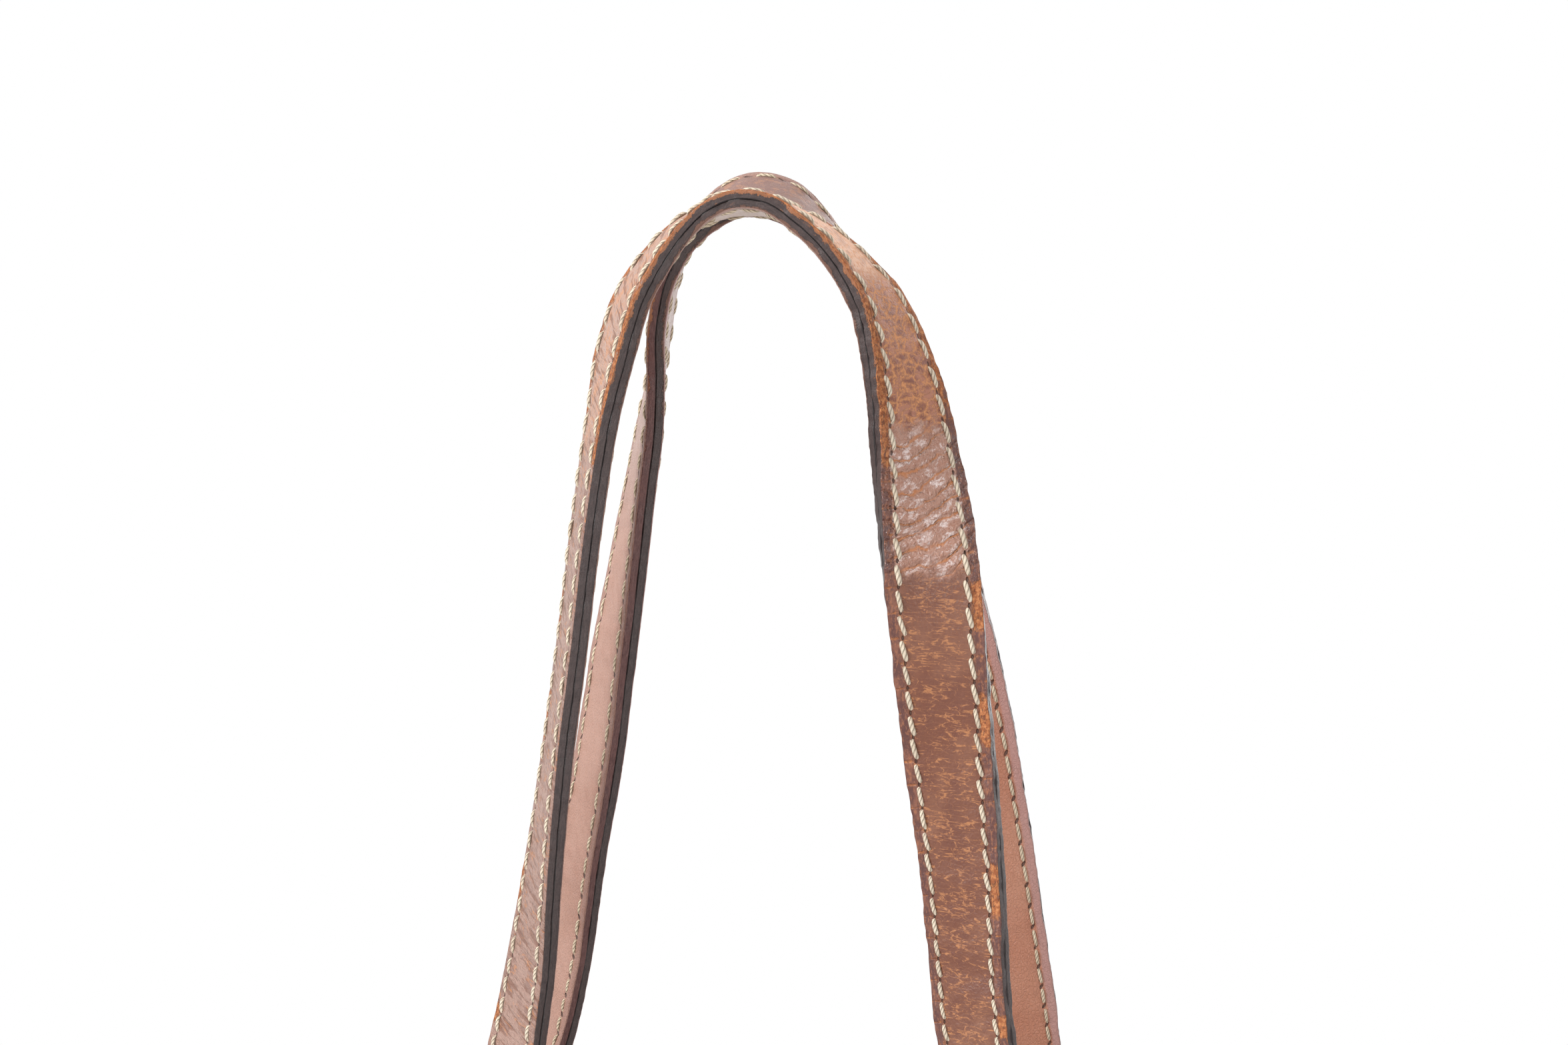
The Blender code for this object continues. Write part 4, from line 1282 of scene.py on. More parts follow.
@dataclass(frozen=True)
class BagForm:
    """Sizes of the bag body, and the surfaces that its pieces are laid on.

    Args:
        height: Height of the rim over the floor.
        base_half_width: Half width of the panels at the floor.
        rim_half_width: Half width of the panels at the rim.
        base_half_depth: Half depth at the floor.
        rim_half_depth: Half depth in the middle of the rim.
        rim_side_half_depth: Half depth at the ends of the rim.
        bulge: How far the panels stand out halfway up.
        rim_drop: How much lower the rim is at its ends.
        radius: Radius of the turn from panel to bottom.
        leather: Thickness of the panels.
        base_leather: Thickness of the base panel.
        slump: Greatest sag of the unfilled panels, inwards.
    """

    height: float = 0.285
    base_half_width: float = 0.166
    rim_half_width: float = 0.177
    base_half_depth: float = 0.062
    rim_half_depth: float = 0.038
    rim_side_half_depth: float = 0.027
    bulge: float = 0.003
    rim_drop: float = 0.005
    radius: float = 0.018
    leather: float = 0.0024
    base_leather: float = 0.0024
    slump: float = 0.0068

    @property
    def floor(self) -> float:
        """Height of the panels' underside."""
        return self.base_leather + GAP

    @property
    def corner_top(self) -> float:
        """Height where the turn to the bottom starts."""
        return self.floor + self.radius

    def half_width(self, z: Array) -> Array:
        """Half width at a height: a straight line from base to rim."""
        return self.base_half_width + (self.rim_half_width - self.base_half_width) * z / self.height

    def half_depth(self, x: Array, z: Array) -> Array:
        """Half depth: drawn in with height to the power 1.6, plus a sine bulge.

        Towards the sides it goes over to the half depth there, with the place cubed.

        Args:
            x: Places across.
            z: Heights.

        Returns:
            Half depths.
        """
        rise = np.clip(z / self.height, 0.0, 1.2)
        draw = rise ** 1.6
        middle = self.base_half_depth + (self.rim_half_depth - self.base_half_depth) * draw
        middle = middle + self.bulge * np.sin(np.pi * np.clip(rise, 0.0, 1.0))
        side = self.base_half_depth + (self.rim_side_half_depth - self.base_half_depth) * draw
        return middle + (side - middle) * np.abs(x / self.half_width(z)) ** 3

    def sag(self, side: Side, x: Array, z: Array) -> Array:
        """Sag of soft leather, outwards positive.

        A broad hollow above the middle, a belly under it, slanted soft folds that run from the
        chapes to the lower corners, and uneven ripples; nothing at the seams, rim and base.

        Args:
            side: Front or rear.
            x: Places across.
            z: Heights.

        Returns:
            Distances.
        """
        turn = -side.value
        held = (1.0 - np.abs(x / self.half_width(z)) ** 4) * smooth(z, 0.036, 0.085)
        held = held * (1.0 - smooth(z, 0.205, 0.258))
        hollow = -self.slump * bump(z, 0.170, 0.050) * bump(x, 0.012 * turn, 0.105)
        belly = 0.0038 * bump(z, 0.085, 0.030) * bump(x, -0.030 * turn, 0.110)
        folds = np.zeros(np.broadcast(x, z).shape)
        for start, lean, width, depth in (
                (0.062, 0.36, 0.011, 0.0028), (-0.078, -0.30, 0.010, 0.0030),
                (0.112, 0.18, 0.008, -0.0020), (-0.030, 0.22, 0.013, 0.0022)):
            line = x * turn - start - lean * (0.20 - z)
            folds += depth * bump(line, 0.0, width) * bump(z, 0.135, 0.060)
        uneven = 0.0012 * ripple(x, z, 0.055, side.pick(11, 12))
        return held * (hollow + belly + folds + uneven)

    def rim(self, x: Array) -> Array:
        """Height of the rim at a place across."""
        return self.height - self.rim_drop * np.abs(x / self.rim_half_width) ** 4

    def wall(self, side: Side, x: Array, z: Array) -> Array:
        """Points of a panel's outer face at places across and heights."""
        depth = self.half_depth(x, z) + self.sag(side, x, z)
        return stack(x, side.value * depth, z)

    def wrap(self, side: Side, shares: Array, rows: int = WALL_ROWS, turn_rows: int = 12,
             under_rows: int = 12, top: float | None = None) -> Array:
        """Outer face of a panel from the rim, or a height, down and under to the middle seam.

        Args:
            side: Front or rear.
            shares: Places across as shares of the half width.
            rows: Rows on the wall.
            turn_rows: Rows on the quarter circle at the foot.
            under_rows: Rows on the bottom.
            top: Height of the upper edge; the rim when left out.

        Returns:
            (rows, shares, 3) points.
        """
        start = (self.rim(shares * self.rim_half_width) if top is None
                 else np.full_like(shares, top))
        part = np.linspace(0.0, 1.0, rows)[:, None]
        z = start + (self.corner_top - start) * part
        wall = self.wall(side, shares * self.half_width(z), z)
        foot = shares * self.half_width(self.corner_top)
        centre = self.half_depth(foot, np.full_like(foot, self.corner_top)) - self.radius
        angle = np.linspace(0.0, math.pi / 2, turn_rows + 1)[1:, None]
        turn_z = self.corner_top - self.radius * np.sin(angle)
        turn_y = side.value * (centre + self.radius * np.cos(angle))
        turn = stack(shares * self.half_width(turn_z), turn_y, turn_z)
        inward = np.linspace(1.0, 0.0, under_rows + 1)[1:, None]
        under_y = side.value * (GAP / 2 + (centre - GAP / 2) * inward)
        under = stack(shares * self.half_width(self.floor), under_y, self.floor)
        return np.concatenate([wall, turn, under])


def lay(points: Array, away: Sequence[float], offset: Array | float) -> Array:
    """Move a grid of points along its normals.

    Args:
        points: (R, C, 3) grid.
        away: Direction that the offset should agree with, on average.
        offset: Distance in metres, one or per point.

    Returns:
        The moved grid.
    """
    return points + grid_normals(points, away) * np.asarray(offset)[..., None]


# Sewing


@dataclass
class Stitches:
    """A row, or several rows, of like stitches, merged in one object.

    Each stitch is a tube of 8 rings with 8 points: its middle line rises from one needle hole,
    runs level and dives into the next, at height - (height + 1.3) * share ** 4, in radii.

    Args:
        name: Object name.
        centres: (N, 3) middles of the stitches, on the leather.
        along: (N, 3) directions of the seam.
        normals: (N, 3) directions out of the leather.
        lengths: (N,) visible lengths.
        radius: (N,) thread radii.
        body: CAD body that the thread rides on.
        finish: Thread material.
        height: Height of the middle line over the leather, in radii.
        slant: Angle of each stitch to the seam, in radians.
        seed: Seed of the small unevenness.
    """

    name: str
    centres: Array
    along: Array
    normals: Array
    lengths: Array
    radius: Array
    body: str
    finish: Material
    height: float = 0.55
    slant: float = 0.07
    seed: int = 1

    def build(self) -> None:
        """Make the merged object."""
        rng = np.random.default_rng(self.seed)
        count = len(self.centres)
        normal = unit(self.normals)
        along = unit(self.along - normal * np.sum(self.along * normal, 1, keepdims=True))
        aside = np.cross(along, normal)
        angle = (self.slant + rng.normal(0.0, 0.035, count))[:, None]
        heading = along * np.cos(angle) + aside * np.sin(angle)
        cross = np.cross(heading, normal)
        centre = (self.centres + along * rng.normal(0.0, 0.00010, (count, 1))
                  + aside * rng.normal(0.0, 0.00009, (count, 1)))
        share = np.linspace(-1.0, 1.0, STITCH_SIDES)
        around = np.linspace(0.0, 2.0 * math.pi, STITCH_SIDES, endpoint=False)
        thick = self.radius * rng.uniform(0.92, 1.08, count)
        lift = thick[:, None] * (self.height - (self.height + 1.3) * np.abs(share) ** 4)
        swell = thick[:, None] * (1.0 - 0.36 * share ** 4)
        run = share * (self.lengths * rng.uniform(0.96, 1.04, count))[:, None] / 2
        spine = (centre[:, None] + heading[:, None] * run[..., None]
                 + normal[:, None] * lift[..., None])
        ring = (cross[:, None, None] * np.cos(around)[None, None, :, None]
                + normal[:, None, None] * (0.82 * np.sin(around))[None, None, :, None])
        points = spine[:, :, None] + ring * swell[:, :, None, None]
        quads = (grid_quads(STITCH_SIDES, STITCH_SIDES, wrap_columns=True)[None]
                 + (np.arange(count) * STITCH_SIDES ** 2)[:, None, None])
        place = stack((share[None, :, None] + 1) / 2 + rng.uniform(0, 1, count)[:, None, None],
                      around[None, None] / (2 * math.pi))
        corner = points.reshape(-1, 3)[quads[0]]
        middle = points[0].reshape(-1, 3).mean(0)
        turn = np.cross(corner[:, 1] - corner[:, 0], corner[:, 2] - corner[:, 0])
        if np.sum(turn * (corner.mean(1) - middle)) < 0:
            quads = quads[..., ::-1]
        obj = make_object(self.name, points.reshape(-1, 3), quads.reshape(-1, 4),
                          place=place.reshape(-1, 2))
        obj.data.materials.append(self.finish)
        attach(obj, self.body)
        LOG.info("%s: %d stitches", self.name, count)


@dataclass
class SeamPlan:
    """Collects seam lines on the bag's pieces, and sews those collected as one object.

    Args:
        finish: Thread material.
        pitch: Distance between needle holes.
        radius: Thread radius.
    """

    finish: Material
    pitch: float = 0.0052
    radius: float = 0.00042
    rows: list[tuple[Array, ...]] = field(default_factory=list)

    def line(self, path: Array, normals: Array) -> None:
        """Add a seam along a path of points with surface normals.

        Args:
            path: (N, 3) points on the leather.
            normals: (N, 3) outward directions there.
        """
        run = run_length(path)
        count = max(int(run[-1] / self.pitch), 1)
        middle = (np.arange(count) + 0.5) * run[-1] / count
        along = unit(np.gradient(path, axis=0))
        self.rows.append(tuple(read(middle, run, part) for part in (path, along, normals)))

    def sew(self, name: str, seed: int) -> None:
        """Make the stitches of all rows so far, and start anew.

        Args:
            name: Object name.
            seed: Seed of the unevenness.
        """
        centres, along, normals = (np.concatenate(parts) for parts in zip(*self.rows))
        self.rows.clear()
        count = len(centres)
        Stitches(name, centres, along, normals, np.full(count, self.pitch * 0.80),
                 np.full(count, self.radius), "bag", self.finish, seed=seed).build()


# Handles


@dataclass
class StrapLine:
    """Middle surface of a handle, finely sampled.

    The way is a smooth curve through stations: cubic pieces whose tangents weigh the chords on
    both sides. Each station gives x, drop below the top, share of the handles' parting, and the
    turn of the outer face towards the front in degrees.

    Args:
        side: Front or rear handle.
        way: Stations from the left ring over the top to the right ring.
        top: Height of the handle's top.
        apart: Distance of the handle's middle from the bag's, along the way.
        straight: Length of the straight ends over the rings.
        layer: Thickness of a layer on the arch.
        end_share: Width and thickness at the rings, as a share of those on the arch.
        taper: Drop below the top where the taper starts, and its height.
        step: Distance between samples.
    """

    side: Side
    way: tuple[Station, ...]
    top: float
    apart: float = 0.014
    straight: float = 0.017
    layer: float = 0.0023
    end_share: float = 0.8
    taper: tuple[float, float] = (0.040, 0.250)
    step: float = 0.0009

    def __post_init__(self) -> None:
        """Sample the way, its directions, the taper and the stitch count.

        The taper is a smooth step with the drop below the top. The stitches get longer upwards.
        """
        sign = self.side.value
        self.bar_offset = (self.layer * self.end_share + GAP) / 2
        sine, cosine = math.sin(RING_LEAN), math.cos(RING_LEAN)
        start_y = sign * (UPPER_BAR[0] + cosine * self.bar_offset)
        start_z = UPPER_BAR[1] + sine * self.bar_offset
        ends = [[(hand.value * RING_ANCHOR, start_y - sign * sine * run, start_z + cosine * run,
                  -90.0 * sign)
                 for run in (0.0, self.straight / 2, self.straight)] for hand in Hand]
        body = [(x, sign * self.apart * apart, self.top - drop, turn)
                for x, drop, apart, turn in self.way]
        samples = self._curve(np.array(ends[0] + body + ends[1][::-1]))
        self.centre = samples[:, :3]
        turn = np.radians(samples[:, 3])[:, None]
        self.along = unit(np.gradient(self.centre, axis=0))
        flat_out = unit(np.cross(self.along, [0.0, 1.0, 0.0]))
        self.out = np.cos(turn) * flat_out + np.sin(turn) * np.cross(self.along, flat_out)
        self.wide = np.cross(self.along, self.out)
        part = np.clip((self.top - self.centre[:, 2] - self.taper[0]) / self.taper[1], 0.0, 1.0)
        self.scale = 1.0 - (1.0 - self.end_share) * part * part * (3.0 - 2.0 * part)
        steps = np.linalg.norm(np.diff(self.centre, axis=0), axis=1)
        self.run = run_length(self.centre)
        self.ends = np.minimum(self.run, self.run[-1] - self.run)
        height = (self.centre[1:, 2] + self.centre[:-1, 2]) / 2
        pitch = STITCH_PITCH * (0.78 + 0.40 * smooth(height, 0.330, 0.560))
        self.count = np.concatenate([[0.0], np.cumsum(steps / pitch)])

    def _curve(self, points: Array) -> Array:
        """Even samples of the smooth curve through the stations.

        Args:
            points: (N, 4) places and turns at the stations.

        Returns:
            (M, 4) samples.
        """
        length = np.linalg.norm(np.diff(points[:, :3], axis=0), axis=1)
        knot = run_length(points[:, :3])
        chord = np.diff(points, axis=0) / length[:, None]
        weight = (length[1:] / (length[1:] + length[:-1]))[:, None]
        tangent = np.concatenate([chord[:1], chord[:-1] * weight + chord[1:] * (1 - weight),
                                  chord[-1:]])
        place = np.linspace(0.0, knot[-1], int(round(knot[-1] / self.step)) + 1)
        piece = np.clip(np.searchsorted(knot, place, side="right") - 1, 0, len(length) - 1)
        size = length[piece][:, None]
        part = (place - knot[piece])[:, None] / size
        square, cube = part ** 2, part ** 3
        return ((2 * cube - 3 * square + 1) * points[piece]
                + (cube - 2 * square + part) * size * tangent[piece]
                + (3 * square - 2 * cube) * points[piece + 1]
                + (cube - square) * size * tangent[piece + 1])


@dataclass
class StrapLayer:
    """One leather layer of a handle, skinned from chamfered, slightly domed sections.

    Args:
        name: Object name.
        line: Middle surface.
        index: Samples that the rows lie at.
        places: Distance of each row along the line from its sample.
        offsets: Distance of each row's middle out of the middle surface.
        face: 1 where the grain is on the line's outer side, -1 where on its inner.
        seed: Seed of the unevenness.
        crease: Depth of the creases across the strap.
        top_points: Section points on the face.
        under_points: Section points on the underside, with its corners.
    """

    name: str
    line: StrapLine
    index: Array
    places: Array
    offsets: Array
    face: float
    seed: int
    crease: float = 0.00016
    top_points: int = 27
    under_points: int = 11

    def build(self) -> Object:
        """Skin the layer; its UV is run and width, its stitch UV the stitch count and share.

        Below the face, the width goes on round the edge, and the share from 1 to 2.

        Returns:
            The layer.
        """
        line, index = self.line, self.index
        centre = (line.centre[index] + line.along[index] * self.places[:, None]
                  + line.out[index] * self.offsets[:, None])
        wide = line.wide[index] * self.face
        thick = unit(np.cross(wide, unit(np.gradient(centre, axis=0)))) * self.face
        middle = len(index) // 2
        if np.sum(thick[middle] * line.out[index[middle]]) * self.face < 0:
            thick = -thick
        half_width, half_thick = (size * line.scale[index][:, None] / 2
                                  for size in (2 * HALF_STRAP, line.layer))
        table = self._section()
        run, count = run_length(centre)[:, None], line.count[index][:, None]
        across = half_width * table[:, 0] + table[:, 1]
        height = half_thick * table[:, 2] + table[:, 3]
        share = across / half_width
        on_top = np.where(np.arange(len(table)) < self.top_points, 1.0, 0.0)
        height = height + on_top * self._relief(run, share, count)
        nibble = (0.00020 * ripple(run, share * 0.002, 0.012, self.seed + 2)
                  + 0.00011 * ripple(run, share * 0.002, 0.0026, self.seed + 3))
        nibble = nibble * (1.0 + 0.9 * smooth(centre[:, 2], 0.520, 0.560))[:, None]
        across = across + np.sign(share) * nibble * smooth(np.abs(share), 0.90, 1.0)
        rings = (centre[:, None] + wide[:, None] * across[..., None]
                 + thick[:, None] * height[..., None])
        sunk = np.clip(half_thick - height, 0.0, None) * (np.abs(share) > 0.9) * (1 - on_top)
        uv = stack(run, share * HALF_STRAP + np.sign(share) * sunk)
        share = np.sign(share) * np.where(sunk > 0, 1.0 + sunk / (2 * half_thick), np.abs(share))
        slots = np.repeat([Face.OUTER, Face.EDGE, Face.INNER, Face.EDGE, Face.OUTER],
                          [self.top_points + 2, 4, self.under_points - 1, 4, 3])
        return tube(self.name, rings, slots, place=uv, stitch=stack(count, share))

    def _section(self) -> Array:
        """Half widths, widths, half thicknesses and thicknesses to add up at each section point.

        The points go over the face, round its rounded corner, down the side with a small
        chamfer at its foot, back along the underside, and up the other side.

        Returns:
            (P, 4) table.
        """
        corner, foot, glue_gap = 0.00042, 0.00011, -GAP * 0.45
        arc = [(-1.0, corner * (1 - math.cos(angle)), 1.0, -corner * (1 - math.sin(angle)))
               for angle in np.radians([65.0, 40.0, 15.0])]
        side = [(1.0, 0.0, 0.1, 0.0), (1.0, 0.0, -0.76, 0.0), (1.0, 0.0, -1.0, foot),
                (1.0, -foot * 0.6, -1.0, glue_gap)]
        face = [(share, -corner * share, 1.0, 0.0)
                for share in np.linspace(-1.0, 1.0, self.top_points)]
        under = [(share, -foot * share, -1.0, glue_gap)
                 for share in np.linspace(1.0, -1.0, self.under_points)[1:-1]]
        return np.array(face + [(1.0, -entry[1], *entry[2:]) for entry in arc] + side + under
                        + [(-1.0, -entry[1], *entry[2:]) for entry in side[::-1]] + arc[::-1])

    def _relief(self, run: Array, share: Array, count: Array) -> Array:
        """Height of the grain face over its flat section.

        It sinks at the stitch rows and needle holes, swells between them, and has creases
        across: ripples that are four times longer across than along.

        Args:
            run: Distances along the strap.
            share: Shares of the half width.
            count: Stitch counts.

        Returns:
            Heights.
        """
        wave = ripple(run, share * HALF_STRAP, 0.0085, self.seed, 4.0)
        fine = ripple(run, share * HALF_STRAP, 0.0034, self.seed + 1, 3.0)
        dent = np.abs((count + 0.5) % 1.0 - 0.5) * STITCH_PITCH
        aside = (np.abs(share) - STITCH_INSET) * HALF_STRAP
        groove = -0.00012 * bump(aside, 0.0, 0.0010)
        groove = groove - 0.00030 * np.exp(-(dent ** 2 + aside ** 2) / 0.0007 ** 2)
        dome = 0.00010 * (1.0 - share ** 2) - 0.00006 * smooth(np.abs(share), 0.85, 1.0)
        return groove + dome + self.crease * wave + self.crease * 0.4 * fine


# Stations of both handles, as StrapLine reads them.
FRONT_WAY = (
    (-0.0618, 0.2140, 1.16, 43.0), (-0.0591, 0.1970, 1.04, 37.5), (-0.0556, 0.1695, 1.00, 27.0),
    (-0.0521, 0.1420, 1.00, 21.5), (-0.0484, 0.1145, 1.00, 20.0), (-0.0441, 0.0800, 1.00, 19.5),
    (-0.0400, 0.0535, 1.00, 20.5), (-0.0363, 0.0358, 1.00, 25.0), (-0.0319, 0.0230, 1.00, 23.0),
    (-0.0257, 0.0136, 1.00, 19.0), (-0.0177, 0.0053, 1.00, 12.0), (-0.0115, 0.0018, 1.00, 5.0),
    (-0.0045, 0.0000, 1.00, 0.0), (0.0036, 0.0008, 1.00, 0.0), (0.0116, 0.0050, 1.00, 4.0),
    (0.0187, 0.0105, 1.00, 8.0), (0.0260, 0.0185, 1.00, 14.0), (0.0304, 0.0250, 1.00, 19.0),
    (0.0342, 0.0345, 1.00, 26.0), (0.0374, 0.0463, 1.00, 35.0), (0.0407, 0.0658, 1.00, 50.0),
    (0.0430, 0.0818, 1.00, 63.0), (0.0451, 0.1004, 1.00, 83.0), (0.0485, 0.1340, 1.00, 99.0),
    (0.0522, 0.1680, 1.00, 111.0), (0.0560, 0.2110, 1.16, 117.0))
REAR_WAY = (
    (-0.0598, 0.2200, 1.16, 38.0), (-0.0558, 0.2000, 1.06, 42.0), (-0.0520, 0.1770, 1.00, 38.0),
    (-0.0466, 0.1485, 1.00, 34.0), (-0.0424, 0.1200, 1.00, 30.0), (-0.0390, 0.0990, 1.00, 25.0),
    (-0.0357, 0.0780, 1.00, 20.0), (-0.0332, 0.0630, 1.00, 17.0), (-0.0314, 0.0492, 1.00, 11.0),
    (-0.0303, 0.0362, 1.00, 6.0), (-0.0277, 0.0222, 1.00, 8.0), (-0.0238, 0.0134, 1.00, 12.0),
    (-0.0166, 0.0050, 1.00, 18.0), (-0.0079, 0.0002, 1.00, 22.0), (0.0012, 0.0010, 1.00, 20.0),
    (0.0088, 0.0060, 1.00, 12.0), (0.0155, 0.0125, 1.00, 2.0), (0.0218, 0.0210, 1.00, -10.0),
    (0.0268, 0.0312, 1.00, -22.0), (0.0307, 0.0420, 1.00, -33.0), (0.0346, 0.0542, 1.00, -46.0),
    (0.0376, 0.0698, 1.00, -60.0), (0.0401, 0.0870, 1.00, -74.0), (0.0427, 0.1040, 1.00, -84.0),
    (0.0470, 0.1196, 1.00, -89.0), (0.0517, 0.1405, 1.00, -92.0), (0.0577, 0.1750, 1.00, -93.0),
    (0.0645, 0.2200, 1.16, -93.0))


class Palette:
    """Finished materials, by use."""

    def __init__(self) -> None:
        """Build every material."""
        self.strap_outer = {Side.FRONT: StrapGrain("front_strap_grain").build(),
                            Side.REAR: StrapLining("rear_strap_grain").build()}
        self.strap_inner = {
            # front lining under the arch: its pale upper band, crown and worn spots are painted
            # reflection and highlight
            Side.FRONT: StrapLining("front_strap_lining", upper=(0.460, 0.330, 0.285),
                                    crown=(0.600, 0.480, 0.420),
                                    worn=(0.520, 0.350, 0.260)).build(),
            Side.REAR: StrapLining("rear_strap_lining", body=(0.380, 0.155, 0.092),
                                   light=(0.440, 0.205, 0.130),
                                   margin=(0.400, 0.230, 0.215)).build()}
        self.edge = CutEdge("painted_edge").build()
        self.strap_edge = StrapEdge("painted_strap_edge").build()
        self.lining_edge = StrapEdge("lining_strap_edge", rust=(0.150, 0.072, 0.050)).build()
        self.maroon_edge = StrapEdge("maroon_strap_edge", body=(0.075, 0.026, 0.024),
                                     scuff=(0.150, 0.068, 0.060)).build()
        self.hide = Hide("body_hide", floor_darkening=0.35).build()
        self.base_hide = Hide("base_hide", body=(0.130, 0.046, 0.026),
                              light=(0.230, 0.098, 0.056), gloss=0.34, floor_darkening=0.6).build()
        self.suede = Suede("suede_lining").build()
        self.thread = Thread("waxed_thread").build()
        self.inner_thread = Thread("bobbin_thread", body=(0.690, 0.580, 0.430),
                                   grime_and_ply_shade=(0.330, 0.240, 0.150)).build()
        self.body_thread = Thread("seam_thread", body=(0.560, 0.440, 0.300)).build()
        self.brass = Brass("old_brass").build()
        self.board = Suede("covered_board", body=(0.120, 0.075, 0.050),
                           deep=(0.070, 0.042, 0.028)).build()

    def dress(self, obj: Object, outer: Material, inner: Material | None = None,
              edge: Material | None = None) -> None:
        """Give a leather piece its grain, cut-edge and inner materials, by slot.

        Args:
            obj: Piece with the slots of Face.
            outer: Material of the outer face.
            inner: Material of the inner face; suede when left out.
            edge: Material of the cut edges; charcoal paint when left out.
        """
        for material in (outer, edge or self.edge, inner or self.suede):
            obj.data.materials.append(material)


@dataclass
class Handle:
    """One handle: two strap layers, looped round the rings, and the stitches through both.

    Args:
        side: Front or rear.
        way: Stations of the strap's way.
        top: Height of the handle's top.
        palette: Materials.
        turn_back: Length of the outer layer's turned-back ends.
        inner_start: Distance from the rings at which the inner layer starts.
    """

    side: Side
    way: tuple[Station, ...]
    top: float
    palette: Palette
    turn_back: float = 0.0325
    inner_start: float = 0.0148

    @property
    def body(self) -> str:
        """CAD body of the handle."""
        return f"{self.side.label}_handle"

    def build(self) -> None:
        """Build both layers and all stitches, and put them on the handle's body."""
        line = StrapLine(self.side, self.way, self.top)
        self._outer(line)
        self._inner(line)
        self._sew(line)
        LOG.info("%s: %.0f mm of strap", self.body, line.run[-1] * 1000)

    def _outer(self, line: StrapLine) -> None:
        """Outer layer: half turns under both bars, and ends that settle on the inner layer.

        Args:
            line: The handle's middle surface.
        """
        last = len(line.centre) - 1
        loop = BAR_RADIUS + GAP + line.layer * line.end_share / 2
        rest = (line.layer * line.scale + GAP) / 2
        flare = 1.0 - smooth(line.ends, 0.0, 0.010)
        angle = np.linspace(0.0, math.pi, 22)[1:]
        tail = int(np.sum(line.run <= self.turn_back))
        settling = smooth(line.run[1:tail], 0.0, 0.012)
        parts = [(np.arange(last + 1), np.zeros(last + 1),
                  rest + (loop - line.bar_offset - rest) * flare)]
        for bar, sign in ((0, 1), (last, -1)):
            samples = bar + sign * np.arange(1, tail)
            settled = -1.5 * (GAP + line.layer * line.scale[samples])
            offsets = (-line.bar_offset - loop) * (1 - settling) + settled * settling
            parts.append((np.concatenate([np.full(len(angle), bar), samples]),
                          np.concatenate([-loop * np.sin(angle), np.zeros(tail - 1)]) * sign,
                          np.concatenate([loop * np.cos(angle) - line.bar_offset, offsets])))
        index, places, offsets = (np.concatenate([left[::-1], middle, right])
                                  for middle, left, right in zip(*parts))
        obj = StrapLayer(f"{self.body}_grain_layer", line, index, places, offsets, 1.0,
                         self.side.pick(21, 22)).build()
        edge = self.side.pick(self.palette.strap_edge, self.palette.maroon_edge)
        self.palette.dress(obj, self.palette.strap_outer[self.side], edge, edge)
        put(obj, self.body, f"{self.body}_outer_layer")

    def _inner(self, line: StrapLine) -> None:
        """Inner layer, just short of both rings.

        Args:
            line: The handle's middle surface.
        """
        keep = np.where(line.ends > self.inner_start)[0]
        offsets = -(line.layer * line.scale[keep] + GAP) / 2
        obj = StrapLayer(f"{self.body}_smooth_layer", line, keep, np.zeros(len(keep)), offsets,
                         -1.0, self.side.pick(31, 32), 0.00008).build()
        edge = self.palette.lining_edge
        self.palette.dress(obj, self.palette.strap_inner[self.side], edge, edge)
        put(obj, self.body, f"{self.body}_inner_layer")

    def _sew(self, line: StrapLine) -> None:
        """Thick twisted stitches on the grain face and finer ones on the inner face.

        Inside, the thread lies on the turned-back ends; where these stop, a stitch is left out.

        Args:
            line: The handle's middle surface.
        """
        near = np.interp(0.0085, line.run, line.count)
        whole = np.arange(math.ceil(near), math.floor(line.count[-1] - near)) + 0.5
        layer = line.layer * line.scale
        outside = GAP / 2 + layer
        inside = np.where(line.ends < self.turn_back, 1.5 * (GAP + layer) + layer / 2, outside)
        pitch = 1.0 / np.gradient(line.count, line.run)
        from_end = np.abs(np.interp(whole, line.count, line.ends) - self.turn_back)
        bobbin = self.palette.inner_thread, 0.00053, 0.88, 0.44, -0.05
        needle = self.palette.thread, 0.00068, 0.96, 0.52, -0.17
        for name, sign, offset, (finish, radius, share, height, slant), seed in (
                ("outer", 1.0, outside, self.side.pick(needle, bobbin), 5),
                ("inner", -1.0, inside, bobbin, 6)):
            keep = whole[(from_end > 0.003) | (sign > 0)]
            centre, along, out, wide = (read(keep, line.count, part) for part in
                                        (line.centre, line.along, line.out, line.wide))
            scale, off, length = (np.interp(keep, line.count, part)
                                  for part in (line.scale, offset, pitch))
            rows = [centre + out * (sign * (off - THREAD_SINK))[:, None]
                    + wide * (HALF_STRAP * scale * STITCH_INSET * row)[:, None]
                    for row in (-1.0, 1.0)]
            both = [np.concatenate([part, part]) for part in
                    (along, out * sign, length * share, scale * radius)]
            Stitches(f"{self.body}_stitches_{name}", np.concatenate(rows), *both, body=self.body,
                     finish=finish, height=height, slant=slant, seed=seed).build()


